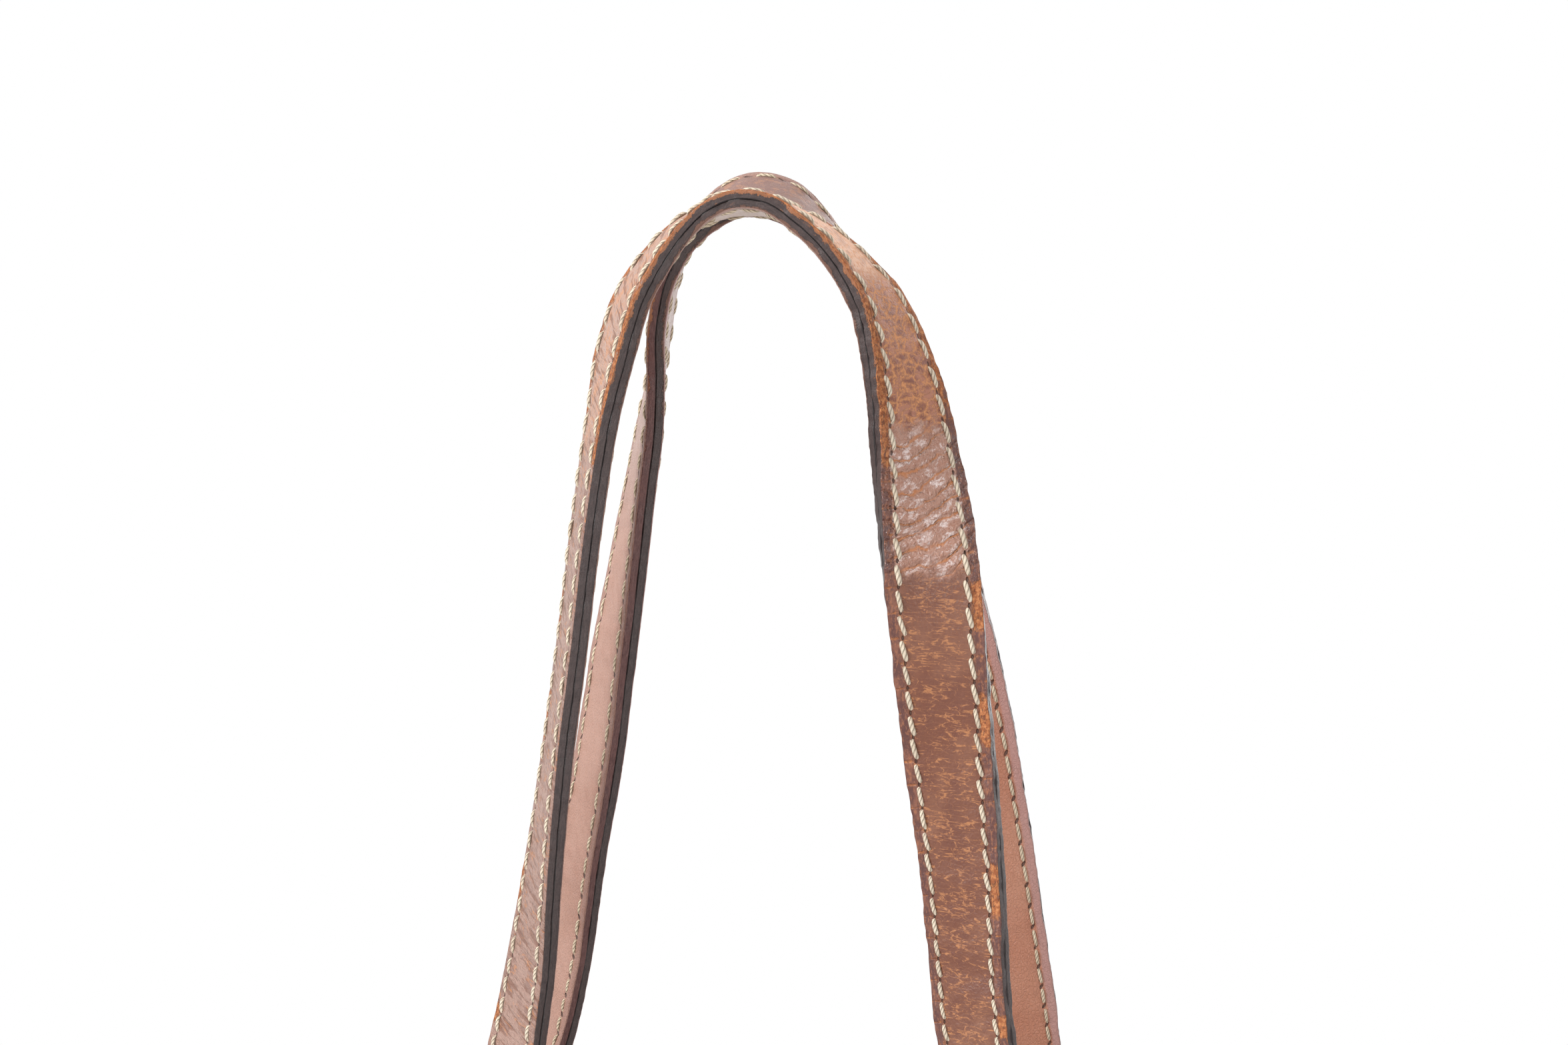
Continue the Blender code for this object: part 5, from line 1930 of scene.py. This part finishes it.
@dataclass
class Shell:
    """The sewn body: panels, base, gussets, facings and slip pocket, all laid on one form.

    Args:
        form: Sizes and surfaces.
        palette: Materials.
        seams: Plan that the seams are added to.
        seam: Width of the side seams.
        bend: Radius of the gussets' turn out of the seam.
        fold: How far the gussets fold in at the rim.
        fold_foot: Height where the folds begin.
        fan: Height where the folds meet the bottom.
        dip: How much lower the folds are than the edges at the rim.
        gusset_leather: Thickness of the gussets.
        facing_height: Height of the facings.
        facing_share: Their half width, as a share of the panels'.
        base_top: Height that the base panel laps up to.
        pocket: Width and height of the slip pocket, and its distance from the rim.
        pocket_room: How far it stands off the panel.
        side_seam: Distance of the side seams from the panels' edges.
        rim_seam: Distance of the upper seam from the rim.
        columns: Grid points across a panel.
    """

    form: BagForm
    palette: Palette
    seams: SeamPlan
    seam: float = 0.009
    bend: float = 0.005
    fold: float = 0.034
    fold_foot: float = 0.090
    fan: float = 0.034
    dip: float = 0.005
    gusset_leather: float = 0.0020
    facing_height: float = 0.036
    facing_share: float = 0.79
    base_top: float = 0.036
    pocket: tuple[float, float, float] = (0.180, 0.115, 0.062)
    pocket_room: float = 0.0082
    side_seam: float = 0.0045
    rim_seam: float = 0.004
    columns: int = 181

    def build(self) -> None:
        """Build all pieces of the body, then sew them."""
        for side in Side:
            self._panel(side)
            self._facing(side)
        self._base()
        for hand in Hand:
            self._gusset(hand)
        self._pocket()
        self.seams.sew("body_stitches", 41)

    def _add(self, name: str, node: str, finish: Material, grid: Array,
             thickness: float, away: Sequence[float], lift: Array | None = None) -> None:
        """Make a leather sheet, dress it and put it on the bag.

        Args:
            name: Object name.
            node: CAD node that it replaces.
            finish: Material of its outer face.
            grid: (R, C, 3) points of the outer face.
            thickness: Leather thickness.
            away: Direction that the outer face looks in.
            lift: (R, C) extra height of the outer face.
        """
        obj = shell(name, grid, thickness, lift=lift, faces_out=away)
        self.palette.dress(obj, finish)
        put(obj, "bag", node)

    def _seam(self, grid: Array, away: Sequence[float], rows: Array | int,
              columns: Array | int) -> None:
        """Sew along a path over a grid.

        Args:
            grid: (R, C, 3) points of the leather.
            away: Direction that the sewn face looks in.
            rows: Row of each point of the path, or of all.
            columns: Column of each point, or of all.
        """
        self.seams.line(grid[rows, columns], grid_normals(grid, away)[rows, columns])

    def _panel(self, side: Side) -> None:
        """Panel: the wall, a quarter turn and half the bottom, pillowed between its seams.

        Args:
            side: Front or rear.
        """
        form, away, last = self.form, (0.0, side.value, 0.0), self.columns - 1
        outer = form.wrap(side, np.linspace(-1.0, 1.0, self.columns))
        x, z = outer[..., 0], outer[..., 2]
        from_side = form.half_width(z) - np.abs(x)
        from_rim = form.rim(x) - z
        facing_seam = self.facing_height - 0.003
        lift = (-0.0004 * bump(from_side, self.side_seam, 0.0022)
                - 0.0004 * bump(from_rim, self.rim_seam, 0.0020)
                - 0.00045 * bump(from_rim, facing_seam, 0.0024)
                + 0.00022 * ripple(x, z, 0.016, 61) * smooth(from_side, 0.004, 0.02))
        self._add(f"{side.label}_panel_hide", f"{side.label}_panel",
                  self.palette.hide, outer, form.leather, away, lift)
        wall = form.height - form.corner_top
        inset = round(self.side_seam / (form.base_half_width + form.rim_half_width) * last)
        foot = int(WALL_ROWS * (form.height - self.base_top - 0.002) / wall)
        for column in (inset, last - inset):
            self._seam(outer, away, np.arange(2, foot), column)
        for drop in (self.rim_seam, facing_seam):
            row = round(drop / wall * (WALL_ROWS - 1))
            self._seam(outer, away, row, np.arange(inset + 1, last - inset))

    def _facing(self, side: Side) -> None:
        """Facing: a strip inside the rim, laid on the panel's inner face.

        Args:
            side: Front or rear.
        """
        away = (0.0, -side.value, 0.0)
        columns, rows = 140, 24
        shares = np.linspace(-self.facing_share, self.facing_share, columns)
        outer = self.form.wrap(side, shares)
        inner = lay(outer, away, self.form.leather + GAP)
        down = unit(inner[8] - inner[0])
        strip = inner[0] + down * np.linspace(0.0, self.facing_height, rows)[:, None, None]
        strip = lay(strip, away, FACING_LEATHER)
        wave = 0.00015 * ripple(strip[..., 0], strip[..., 2], 0.012, 71)
        self._add(f"{side.label}_facing_strip", f"{side.label}_facing",
                  self.palette.hide, strip, FACING_LEATHER, away, wave)
        for row in (2, rows - 3):
            self._seam(strip, away, row, np.arange(2, columns - 2))

    def _base(self) -> None:
        """Base panel: one sheet from its front edge, under the bag, to its rear edge."""
        form, away, halves = self.form, (0.0, 0.0, -1.0), []
        lap_rows, turn_rows = 16, 14
        for side in Side:
            wrap = form.wrap(side, np.linspace(-1.0, 1.0, self.columns), lap_rows, turn_rows,
                             under_rows=14, top=self.base_top)
            moved = lay(wrap, (0.0, side.value * 0.5, -1.0), GAP + form.base_leather)
            moved[lap_rows + turn_rows - 1:, :, 2] = 0.0
            halves.append(moved)
        grid = np.concatenate([halves[0][:-1], halves[1][::-1]])
        scuff = 0.00010 * ripple(grid[..., 0], grid[..., 1] + grid[..., 2], 0.010, 81)
        scuff = np.where(grid[..., 2] < 0.0005, 0.0, scuff)
        self._add("base_hide", "base_panel", self.palette.base_hide, grid,
                  form.base_leather, away, scuff)
        rows = len(grid)
        for row in (3, rows - 4):
            self._seam(grid, away, row, np.arange(3, self.columns - 3))
        for column in (2, self.columns - 3):
            self._seam(grid, away, np.arange(2, 22), column)
            self._seam(grid, away, np.arange(rows - 22, rows - 2), column)

    def _gusset(self, hand: Hand) -> None:
        """Gusset: seam flange, a quarter turn, and a face that folds in towards the rim.

        Rows follow the U of the panels' side edges. Across, straight lines run from the turn to
        the fold; the fold deepens with height to the power 1.3, and soft creases cross it.

        Args:
            hand: Left or right.
        """
        form, sign = self.form, hand.value
        share = np.array([sign, sign * (1.0 - self.seam / form.rim_half_width)])
        halves = [form.wrap(side, share, rows=110, turn_rows=14, under_rows=12) for side in Side]
        line, inner = (np.concatenate([halves[0][:-1, column], halves[1][::-1, column]])
                       for column in (0, 1))
        along = unit(np.gradient(line, axis=0))
        inward = unit(np.cross(along, (1.0, 0.0, 0.0)))
        if inward[0, 1] < 0:
            inward = -inward
        offset = form.leather + GAP
        columns = [part + inward * offset for part in (line, (line + inner) / 2, inner)]
        for angle in np.linspace(0.0, math.pi / 2, 8)[1:]:
            step = np.array([-sign * self.bend * math.sin(angle), 0.0, 0.0])
            columns.append(inner + step + inward * (offset + self.bend * (1 - math.cos(angle))))
        edge = columns[-1]
        rise = np.clip((edge[:, 2] - self.fold_foot) / (form.height - self.fold_foot), 0.0, 1.0)
        fold = self.fold * rise ** 1.3
        spine = edge.copy()
        spine[:, 1] = 0.0
        spine[:, 2] = np.maximum(edge[:, 2] - self.dip * rise, self.fan)
        half = len(edge) // 2
        fan_x = np.interp(self.fan, edge[:half, 2][::-1], edge[:half, 0][::-1])
        spine[:, 0] = np.where(spine[:, 2] > self.fan, edge[:, 0], fan_x) - sign * fold
        for part in np.arange(1, 31) / 30:
            point = edge + (spine - edge) * part
            soft = math.sin(part * math.pi / 2)
            round_fold = 0.0022 * rise * math.sin(part * math.pi)
            crease = (0.0009 * ripple(point[:, 2], point[:, 1], 0.030, 91)
                      * math.sin(min(part * 1.3, 1.0) * math.pi / 2) * soft)
            point[:, 0] += sign * (round_fold + crease * smooth(point[:, 2], 0.03, 0.07))
            columns.append(point)
        self._add(f"{hand.label}_gusset_hide", f"{hand.label}_gusset",
                  self.palette.hide, np.stack(columns, axis=1), self.gusset_leather,
                  (sign, 0.0, 0.0))

    def _pocket(self) -> None:
        """Slip pocket: sewn at three sides to the rear panel, pouched and slack at the top."""
        form, away = self.form, (0.0, -1.0, 0.0)
        (width, height, drop), border = self.pocket, 0.014
        columns, rows, top = 110, 70, form.height - drop
        x, z = np.meshgrid(np.linspace(-width / 2, width / 2, columns),
                           np.linspace(top, top - height, rows))
        side = smooth((width / 2 - np.abs(x)) / border - 0.5, 0.0, 1.0)
        foot = smooth((z - (top - height)) / border - 0.5, 0.0, 1.0)
        room = self.pocket_room * side * foot * (0.9 + 0.1 * (z - top + height) / height)
        room = room + side * foot * 0.0006 * ripple(x, z, 0.035, 95)
        laid = lay(form.wall(Side.REAR, x, z), away,
                   form.leather + GAP + POCKET_LEATHER + np.maximum(room, 0.0))
        self._add("slip_pocket_hide", "slip_pocket",
                  self.palette.strap_inner[Side.REAR], laid, POCKET_LEATHER, away)
        low, last = rows - 3, columns - 3
        path = [(row, 2) for row in range(1, low)] + [(low, column) for column in range(3, last)]
        path += [(row, last) for row in range(low - 1, 0, -1)]
        self._seam(laid, away, *np.array(path).T)
        self._seam(laid, away, 3, np.arange(5, columns - 5))


@dataclass
class Chape:
    """Leather tab folded round a ring's lower bar and sewn down on the panel.

    Args:
        form: Body form.
        palette: Materials.
        seams: Plan that its seams are added to.
        side: Front or rear.
        hand: Left or right.
        leather: Its thickness.
        neck: Its width in the ring.
        full: Its width on the panel.
        tip: Its width at the tip.
        length: How far it reaches down from the rim.
        inset: Distance of its seam from its edges.
    """

    form: BagForm
    palette: Palette
    seams: SeamPlan
    side: Side
    hand: Hand
    leather: float = 0.0020
    neck: float = 0.0205
    full: float = 0.030
    tip: float = 0.010
    length: float = 0.078
    inset: float = 0.0028

    @property
    def near(self) -> float:
        """Place across of its edge that is nearer to the bag's middle."""
        return RING_ANCHOR - self.full / 2

    def build(self) -> None:
        """Build the tab as one folded sheet, and add its seams.

        Its width grows from the neck by a smooth step and closes at the tip as an ellipse does.
        """
        form, path = self.form, self._path()
        drop = np.clip((form.height - path[:, 1:]) / self.length, 0.0, 1.0)
        swell = np.clip(drop / 0.45, 0.0, 1.0)
        tip = np.clip((drop - 0.72) / 0.28, 0.0, 1.0)
        width = self.neck + (self.full - self.neck) * (3 - 2 * swell) * swell ** 2
        width = self.tip + (width - self.tip) * np.sqrt(1 - tip ** 2)
        tangent = unit(np.gradient(path, axis=0))
        share = np.linspace(-0.5, 0.5, 26)
        x, z = self.hand.value * RING_ANCHOR + width * share, path[:, 1:]
        curved = form.half_depth(x, z) + form.sag(self.side, x, z)
        plate = smooth(form.height - z, 0.004, 0.018)
        depth = path[:, :1] + (curved - form.half_depth(self.near, z)) * plate
        grid = stack(x, self.side.value * (depth - tangent[:, 1:] * self.leather / 2),
                     z + tangent[:, :1] * self.leather / 2)
        edge = (0.5 - np.abs(share)) * width
        wear = -0.00025 * bump(edge, self.inset, 0.0013)
        wear = wear - 0.0003 * (1 - smooth(edge, 0.0, 0.0014))
        wear = wear + 0.00012 * ripple(grid[..., 0], grid[..., 2], 0.008, 51)
        if self.side is Side.REAR:
            grid, wear = grid[:, ::-1], wear[:, ::-1]
        name = f"{self.side.label}_chape_{self.hand.label}"
        obj = shell(f"{name}_hide", grid, self.leather, lift=wear)
        self.palette.dress(obj, self.palette.base_hide)
        put(obj, "bag", name)
        below = (z[:, 0] < form.height - 0.012) & (np.arange(len(z)) > np.argmax(z))
        self._sew(grid, width[:, 0], int(np.argmax(below)), len(z) - 5)

    def _path(self) -> Array:
        """Middle line of the tab: up the panel, round the bar and down over itself.

        Returns:
            (N, 2) distances from the middle plane and heights, evenly spaced, and softened
            where straight and round parts meet.
        """
        loop = BAR_RADIUS + GAP + self.leather / 2
        z = self.form.height - np.linspace(self.length, 0.010, 60)
        face = self.form.half_depth(self.near, z) + GAP * 1.2
        around = np.radians(np.linspace(180.0, -30.0, 26))
        corners = np.concatenate([
            stack(face + self.leather / 2, z),
            stack(LOWER_BAR[0] + loop * np.cos(around), LOWER_BAR[1] + loop * np.sin(around)),
            stack(face + self.leather * 1.5 + GAP * 1.2, z)[::-1]])
        run = run_length(corners)
        even = read(np.linspace(0.0, run[-1], 230), run, corners)
        kernel = np.array([1, 2, 3, 2, 1]) / 9.0
        padded = np.pad(even, ((2, 2), (0, 0)), "edge")
        return np.stack([np.convolve(column, kernel, "valid") for column in padded.T], 1)

    def _sew(self, grid: Array, width: Array, first: int, last: int) -> None:
        """Seam round the outer leg at an inset from its edges, closed across its upper end.

        Args:
            grid: (R, C, 3) points of the tab's outer face.
            width: (R,) its width.
            first: Upper row of the seam.
            last: Row where the two sides meet at the tip.
        """
        normals, rows = grid_normals(grid), np.arange(first, last + 1)
        inset = self.inset / width[rows] * (grid.shape[1] - 1)
        points, outwards = [], []
        for place in (inset, grid.shape[1] - 1 - inset):
            low = place.astype(int)
            part = (place - low)[:, None]
            points.append(grid[rows, low] * (1 - part) + grid[rows, low + 1] * part)
            outwards.append(normals[rows, low])
        self.seams.line(*(np.concatenate([left, middle[last:last + 1, grid.shape[1] // 2],
                                          right[::-1]])
                          for (left, right), middle in ((points, grid), (outwards, normals))))
        self.seams.line(grid[first, 4:-4], normals[first, 4:-4])


@dataclass
class Ring:
    """Rounded-rectangle brass ring, leaning in with the handle, with a soldered joint.

    Args:
        side: Front or rear.
        hand: Left or right.
        finish: Brass.
        inner_width: Width inside.
        inner_height: Height inside.
        corner: Radius of the bar's middle line at the corners.
    """

    side: Side
    hand: Hand
    finish: Material
    inner_width: float = 0.026
    inner_height: float = 0.014
    corner: float = 0.0035

    def build(self) -> None:
        """Sweep a circle along a rounded rectangle; the joint is a slight swelling."""
        reach = self.inner_width / 2 + BAR_RADIUS - self.corner
        low, high = self.corner, self.inner_height + 2 * BAR_RADIUS - self.corner
        angle = (np.arange(4)[:, None] + np.arange(13) / 12) * math.pi / 2
        across = np.array([[reach], [-reach], [-reach], [reach]]) + self.corner * np.cos(angle)
        level = np.array([[high], [high], [low], [low]]) + self.corner * np.sin(angle)
        points = stack(across, level).reshape(-1, 2)
        closed = np.concatenate([points, points[:1]])
        run = run_length(closed)
        even = np.linspace(0.0, run[-1], 160, endpoint=False)
        points = read(even, run, closed)
        along = unit(np.roll(points, -1, axis=0) - np.roll(points, 1, axis=0))
        out = np.stack([along[:, 1], -along[:, 0]], 1)
        around = np.linspace(0.0, 2 * math.pi, 24, endpoint=False)
        joint = (1.0 + 0.05 * bump(even, run[-1] * 0.5, 0.0016)
                 - 0.05 * bump(even, run[-1] * 0.5, 0.0004))
        thick = BAR_RADIUS * joint * (1.0 + 0.006 * np.sin(even * 900.0))
        flat = points[:, None] + out[:, None] * (thick[:, None] * np.cos(around))[..., None]
        deep = thick[:, None] * np.sin(around)
        sine, cosine = math.sin(RING_LEAN), math.cos(RING_LEAN)
        rings = stack(self.hand.value * RING_ANCHOR + flat[..., 0],
                      self.side.value * (LOWER_BAR[0] - flat[..., 1] * sine + deep * cosine),
                      LOWER_BAR[1] + flat[..., 1] * cosine + deep * sine)
        uv = stack(even[:, None], around * BAR_RADIUS)
        name = f"{self.side.label}_ring_{self.hand.label}"
        obj = tube(f"{name}_brass", rings, np.zeros(24, int), caps=False, place=uv)
        obj.data.materials.append(self.finish)
        put(obj, f"{self.side.label}_rings", name)


@dataclass
class Snap:
    """Half of the magnetic snap: a turned brass cap with a bevelled rim.

    Args:
        side: Front is the socket, rear the stud.
        form: Body form.
        finish: Brass.
        radius: Its radius.
        thickness: Its height over the facing.
        drop: Distance of its axis from the rim.
        clearance: Room between its back and the facing, besides the gap.
    """

    side: Side
    form: BagForm
    finish: Material
    radius: float = 0.009
    thickness: float = 0.0028
    drop: float = 0.019
    clearance: float = 0.00005

    def build(self) -> None:
        """Turn a profile of radius and lift about the axis out of the facing."""
        z = self.form.height - self.drop
        slope = float(self.form.half_depth(0.0, z + 0.002) - self.form.half_depth(0.0, z - 0.002))
        tilt = math.atan(slope / 0.004)
        out = np.array([0.0, self.side.value * math.cos(tilt), -math.sin(tilt)])
        x = np.array([1.0, 0.0, 0.0])
        face = np.array([0.0, self.side.value * float(self.form.half_depth(0.0, z)), z])
        seat = face - out * (self.form.leather + FACING_LEATHER + 2 * GAP + self.clearance)
        r, t = self.radius, self.thickness
        profile = [(r - 0.0006, 0.0), (r - 0.0001, 0.0003), (r, 0.0007), (r, t - 0.0009),
                   (r - 0.0003, t - 0.0003), (r - 0.0009, t), (r * 0.78, t), (r * 0.74, t - 0.0003),
                   (r * 0.70, t - 0.0003), (r * 0.66, t)]
        profile += self.side.pick(
            [(0.0044, t), (0.0039, t - 0.0002), (0.0037, t - 0.0014), (0.0033, t - 0.0016),
             (0.0004, t - 0.0016)],
            [(0.0040, t), (0.0036, t + 0.0002), (0.0034, t + 0.0012), (0.0030, t + 0.0016),
             (0.0004, t + 0.0016)])
        table = np.array(profile)
        run = run_length(table)
        around = np.linspace(0.0, 2 * math.pi, 64, endpoint=False)
        circle = np.cos(around)[:, None] * x + np.sin(around)[:, None] * np.cross(-out, x)
        rings = seat + circle[None] * table[:, 0][:, None, None] - out * table[:, 1][:, None, None]
        uv = stack(run[:, None], around * r)
        name = self.side.pick("snap_socket", "snap_stud")
        obj = tube(f"{name}_cap", rings, np.zeros(64, int), place=uv)
        obj.data.set_sharp_from_angle(angle=math.radians(50))
        obj.data.materials.append(self.finish)
        put(obj, "bag", name)


# Stage


@dataclass(frozen=True)
class Studio:
    """Pale floor, white surroundings, soft lights and the camera at the photograph's angle.

    Args:
        azimuth: Camera angle to the right of straight ahead, in degrees.
        target: Point that the camera looks at: share to the right, and height.
        distance: Distance from the camera to the target.
        frame_width: Width of the view at the target.
    """

    azimuth: float = 8.0
    target: tuple[float, float] = (0.0048, 0.5202)
    distance: float = 0.95
    frame_width: float = 0.4055

    def build(self) -> None:
        """Make the floor, the world, the lights and the camera."""
        self._floor()
        self._world()
        self._camera()
        for name, place, aim, size, power in (
                ("key", (-1.3, -0.8, 1.20), (0.0, 0.0, 0.45), 0.8, 24.0),
                ("fill", (0.72, -1.50, 0.62), (0.04, 0.0, 0.50), 0.36, 8.0),
                ("top", (-0.2, -0.1, 1.9), (0.0, 0.0, 0.40), 1.0, 12.0),
                ("back", (0.5, 1.4, 0.9), (0.0, 0.0, 0.45), 1.2, 7.0)):
            light = bpy.data.lights.new(name, "AREA")
            light.shape, light.size, light.energy = "DISK", size, power
            self._aim(link(name, light), place, aim)

    @staticmethod
    def _aim(obj: Object, place: tuple[float, float, float],
             aim: tuple[float, float, float]) -> None:
        """Put an object at a place, its -Z towards a point and its Y up.

        Args:
            obj: Light or camera.
            place: Its place.
            aim: Point that it looks at.
        """
        ahead = unit(np.array(aim) - np.array(place))
        right = unit(np.cross(ahead, [0.0, 0.0, 1.0]))
        up = np.cross(right, ahead)
        matrix = np.eye(4)
        matrix[:3] = np.stack([right, up, -ahead, place], 1)
        obj.matrix_world = Matrix(matrix.tolist())

    def _floor(self) -> None:
        """A wide level sheet, and nothing else."""
        reach = np.linspace(-2.0, 2.0, 9)
        x, y = np.meshgrid(reach, reach)
        points = stack(x, y, -0.0003).reshape(-1, 3)
        floor = make_object("floor", points, grid_quads(*x.shape)[:, ::-1])
        floor.data.materials.append(StageFloor("pale_floor").build())

    @staticmethod
    def _world() -> None:
        """White for the camera and in reflections, softer for the light that it gives."""
        world = bpy.data.worlds.new("studio")
        bpy.context.scene.world = world
        s = Shader(world)
        camera = s.node("LightPath", output="Is Camera Ray")
        glossy = Signal(s, camera.socket.node.outputs["Is Glossy Ray"])
        strength = s.node("MapRange", {0: s.larger(camera, glossy), 3: 0.50, 4: 1.0})
        background = s.tree.nodes["Background"]
        s.feed(background.inputs["Strength"], strength)
        s.feed(background.inputs["Color"], (1.0, 1.0, 1.0))
        bpy.context.scene.view_settings.view_transform = "Standard"

    def _camera(self) -> None:
        """Camera at the photograph's angle: level, with the photograph's frame width."""
        angle = math.radians(self.azimuth)
        right = np.array([math.cos(angle), math.sin(angle), 0.0])
        ahead = np.array([-math.sin(angle), math.cos(angle), 0.0])
        aim = right * self.target[0] + np.array([0.0, 0.0, self.target[1]])
        camera = bpy.data.cameras.new("camera")
        camera.sensor_width = 36.0
        camera.lens = 36.0 * self.distance / self.frame_width
        camera.clip_start, camera.clip_end = 0.01, 50.0
        obj = link("camera", camera)
        self._aim(obj, tuple(aim - ahead * self.distance), tuple(aim))
        bpy.context.scene.camera = obj


def main() -> None:
    """Load the frame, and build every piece."""
    logging.basicConfig(level=logging.INFO, format="%(name)s %(message)s")
    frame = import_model()
    Studio().build()
    palette = Palette()
    form = BagForm()
    seams = SeamPlan(palette.body_thread)
    Shell(form, palette, seams).build()
    for side in Side:
        for hand in Hand:
            Chape(form, palette, seams, side, hand).build()
            Ring(side, hand, palette.brass).build()
        Snap(side, form, palette.brass).build()
    seams.sew("chape_stitches", 43)
    top = UPPER_BAR[1] + HANDLE_RISE
    Handle(Side.FRONT, FRONT_WAY, top, palette).build()
    Handle(Side.REAR, REAR_WAY, top + REAR_LIFT, palette).build()
    board = frame["nodes"]["base_board"]
    board.data.materials.clear()
    board.data.materials.append(palette.board)
    LOG.info("all pieces built")


if __name__ == "__main__":
    main()
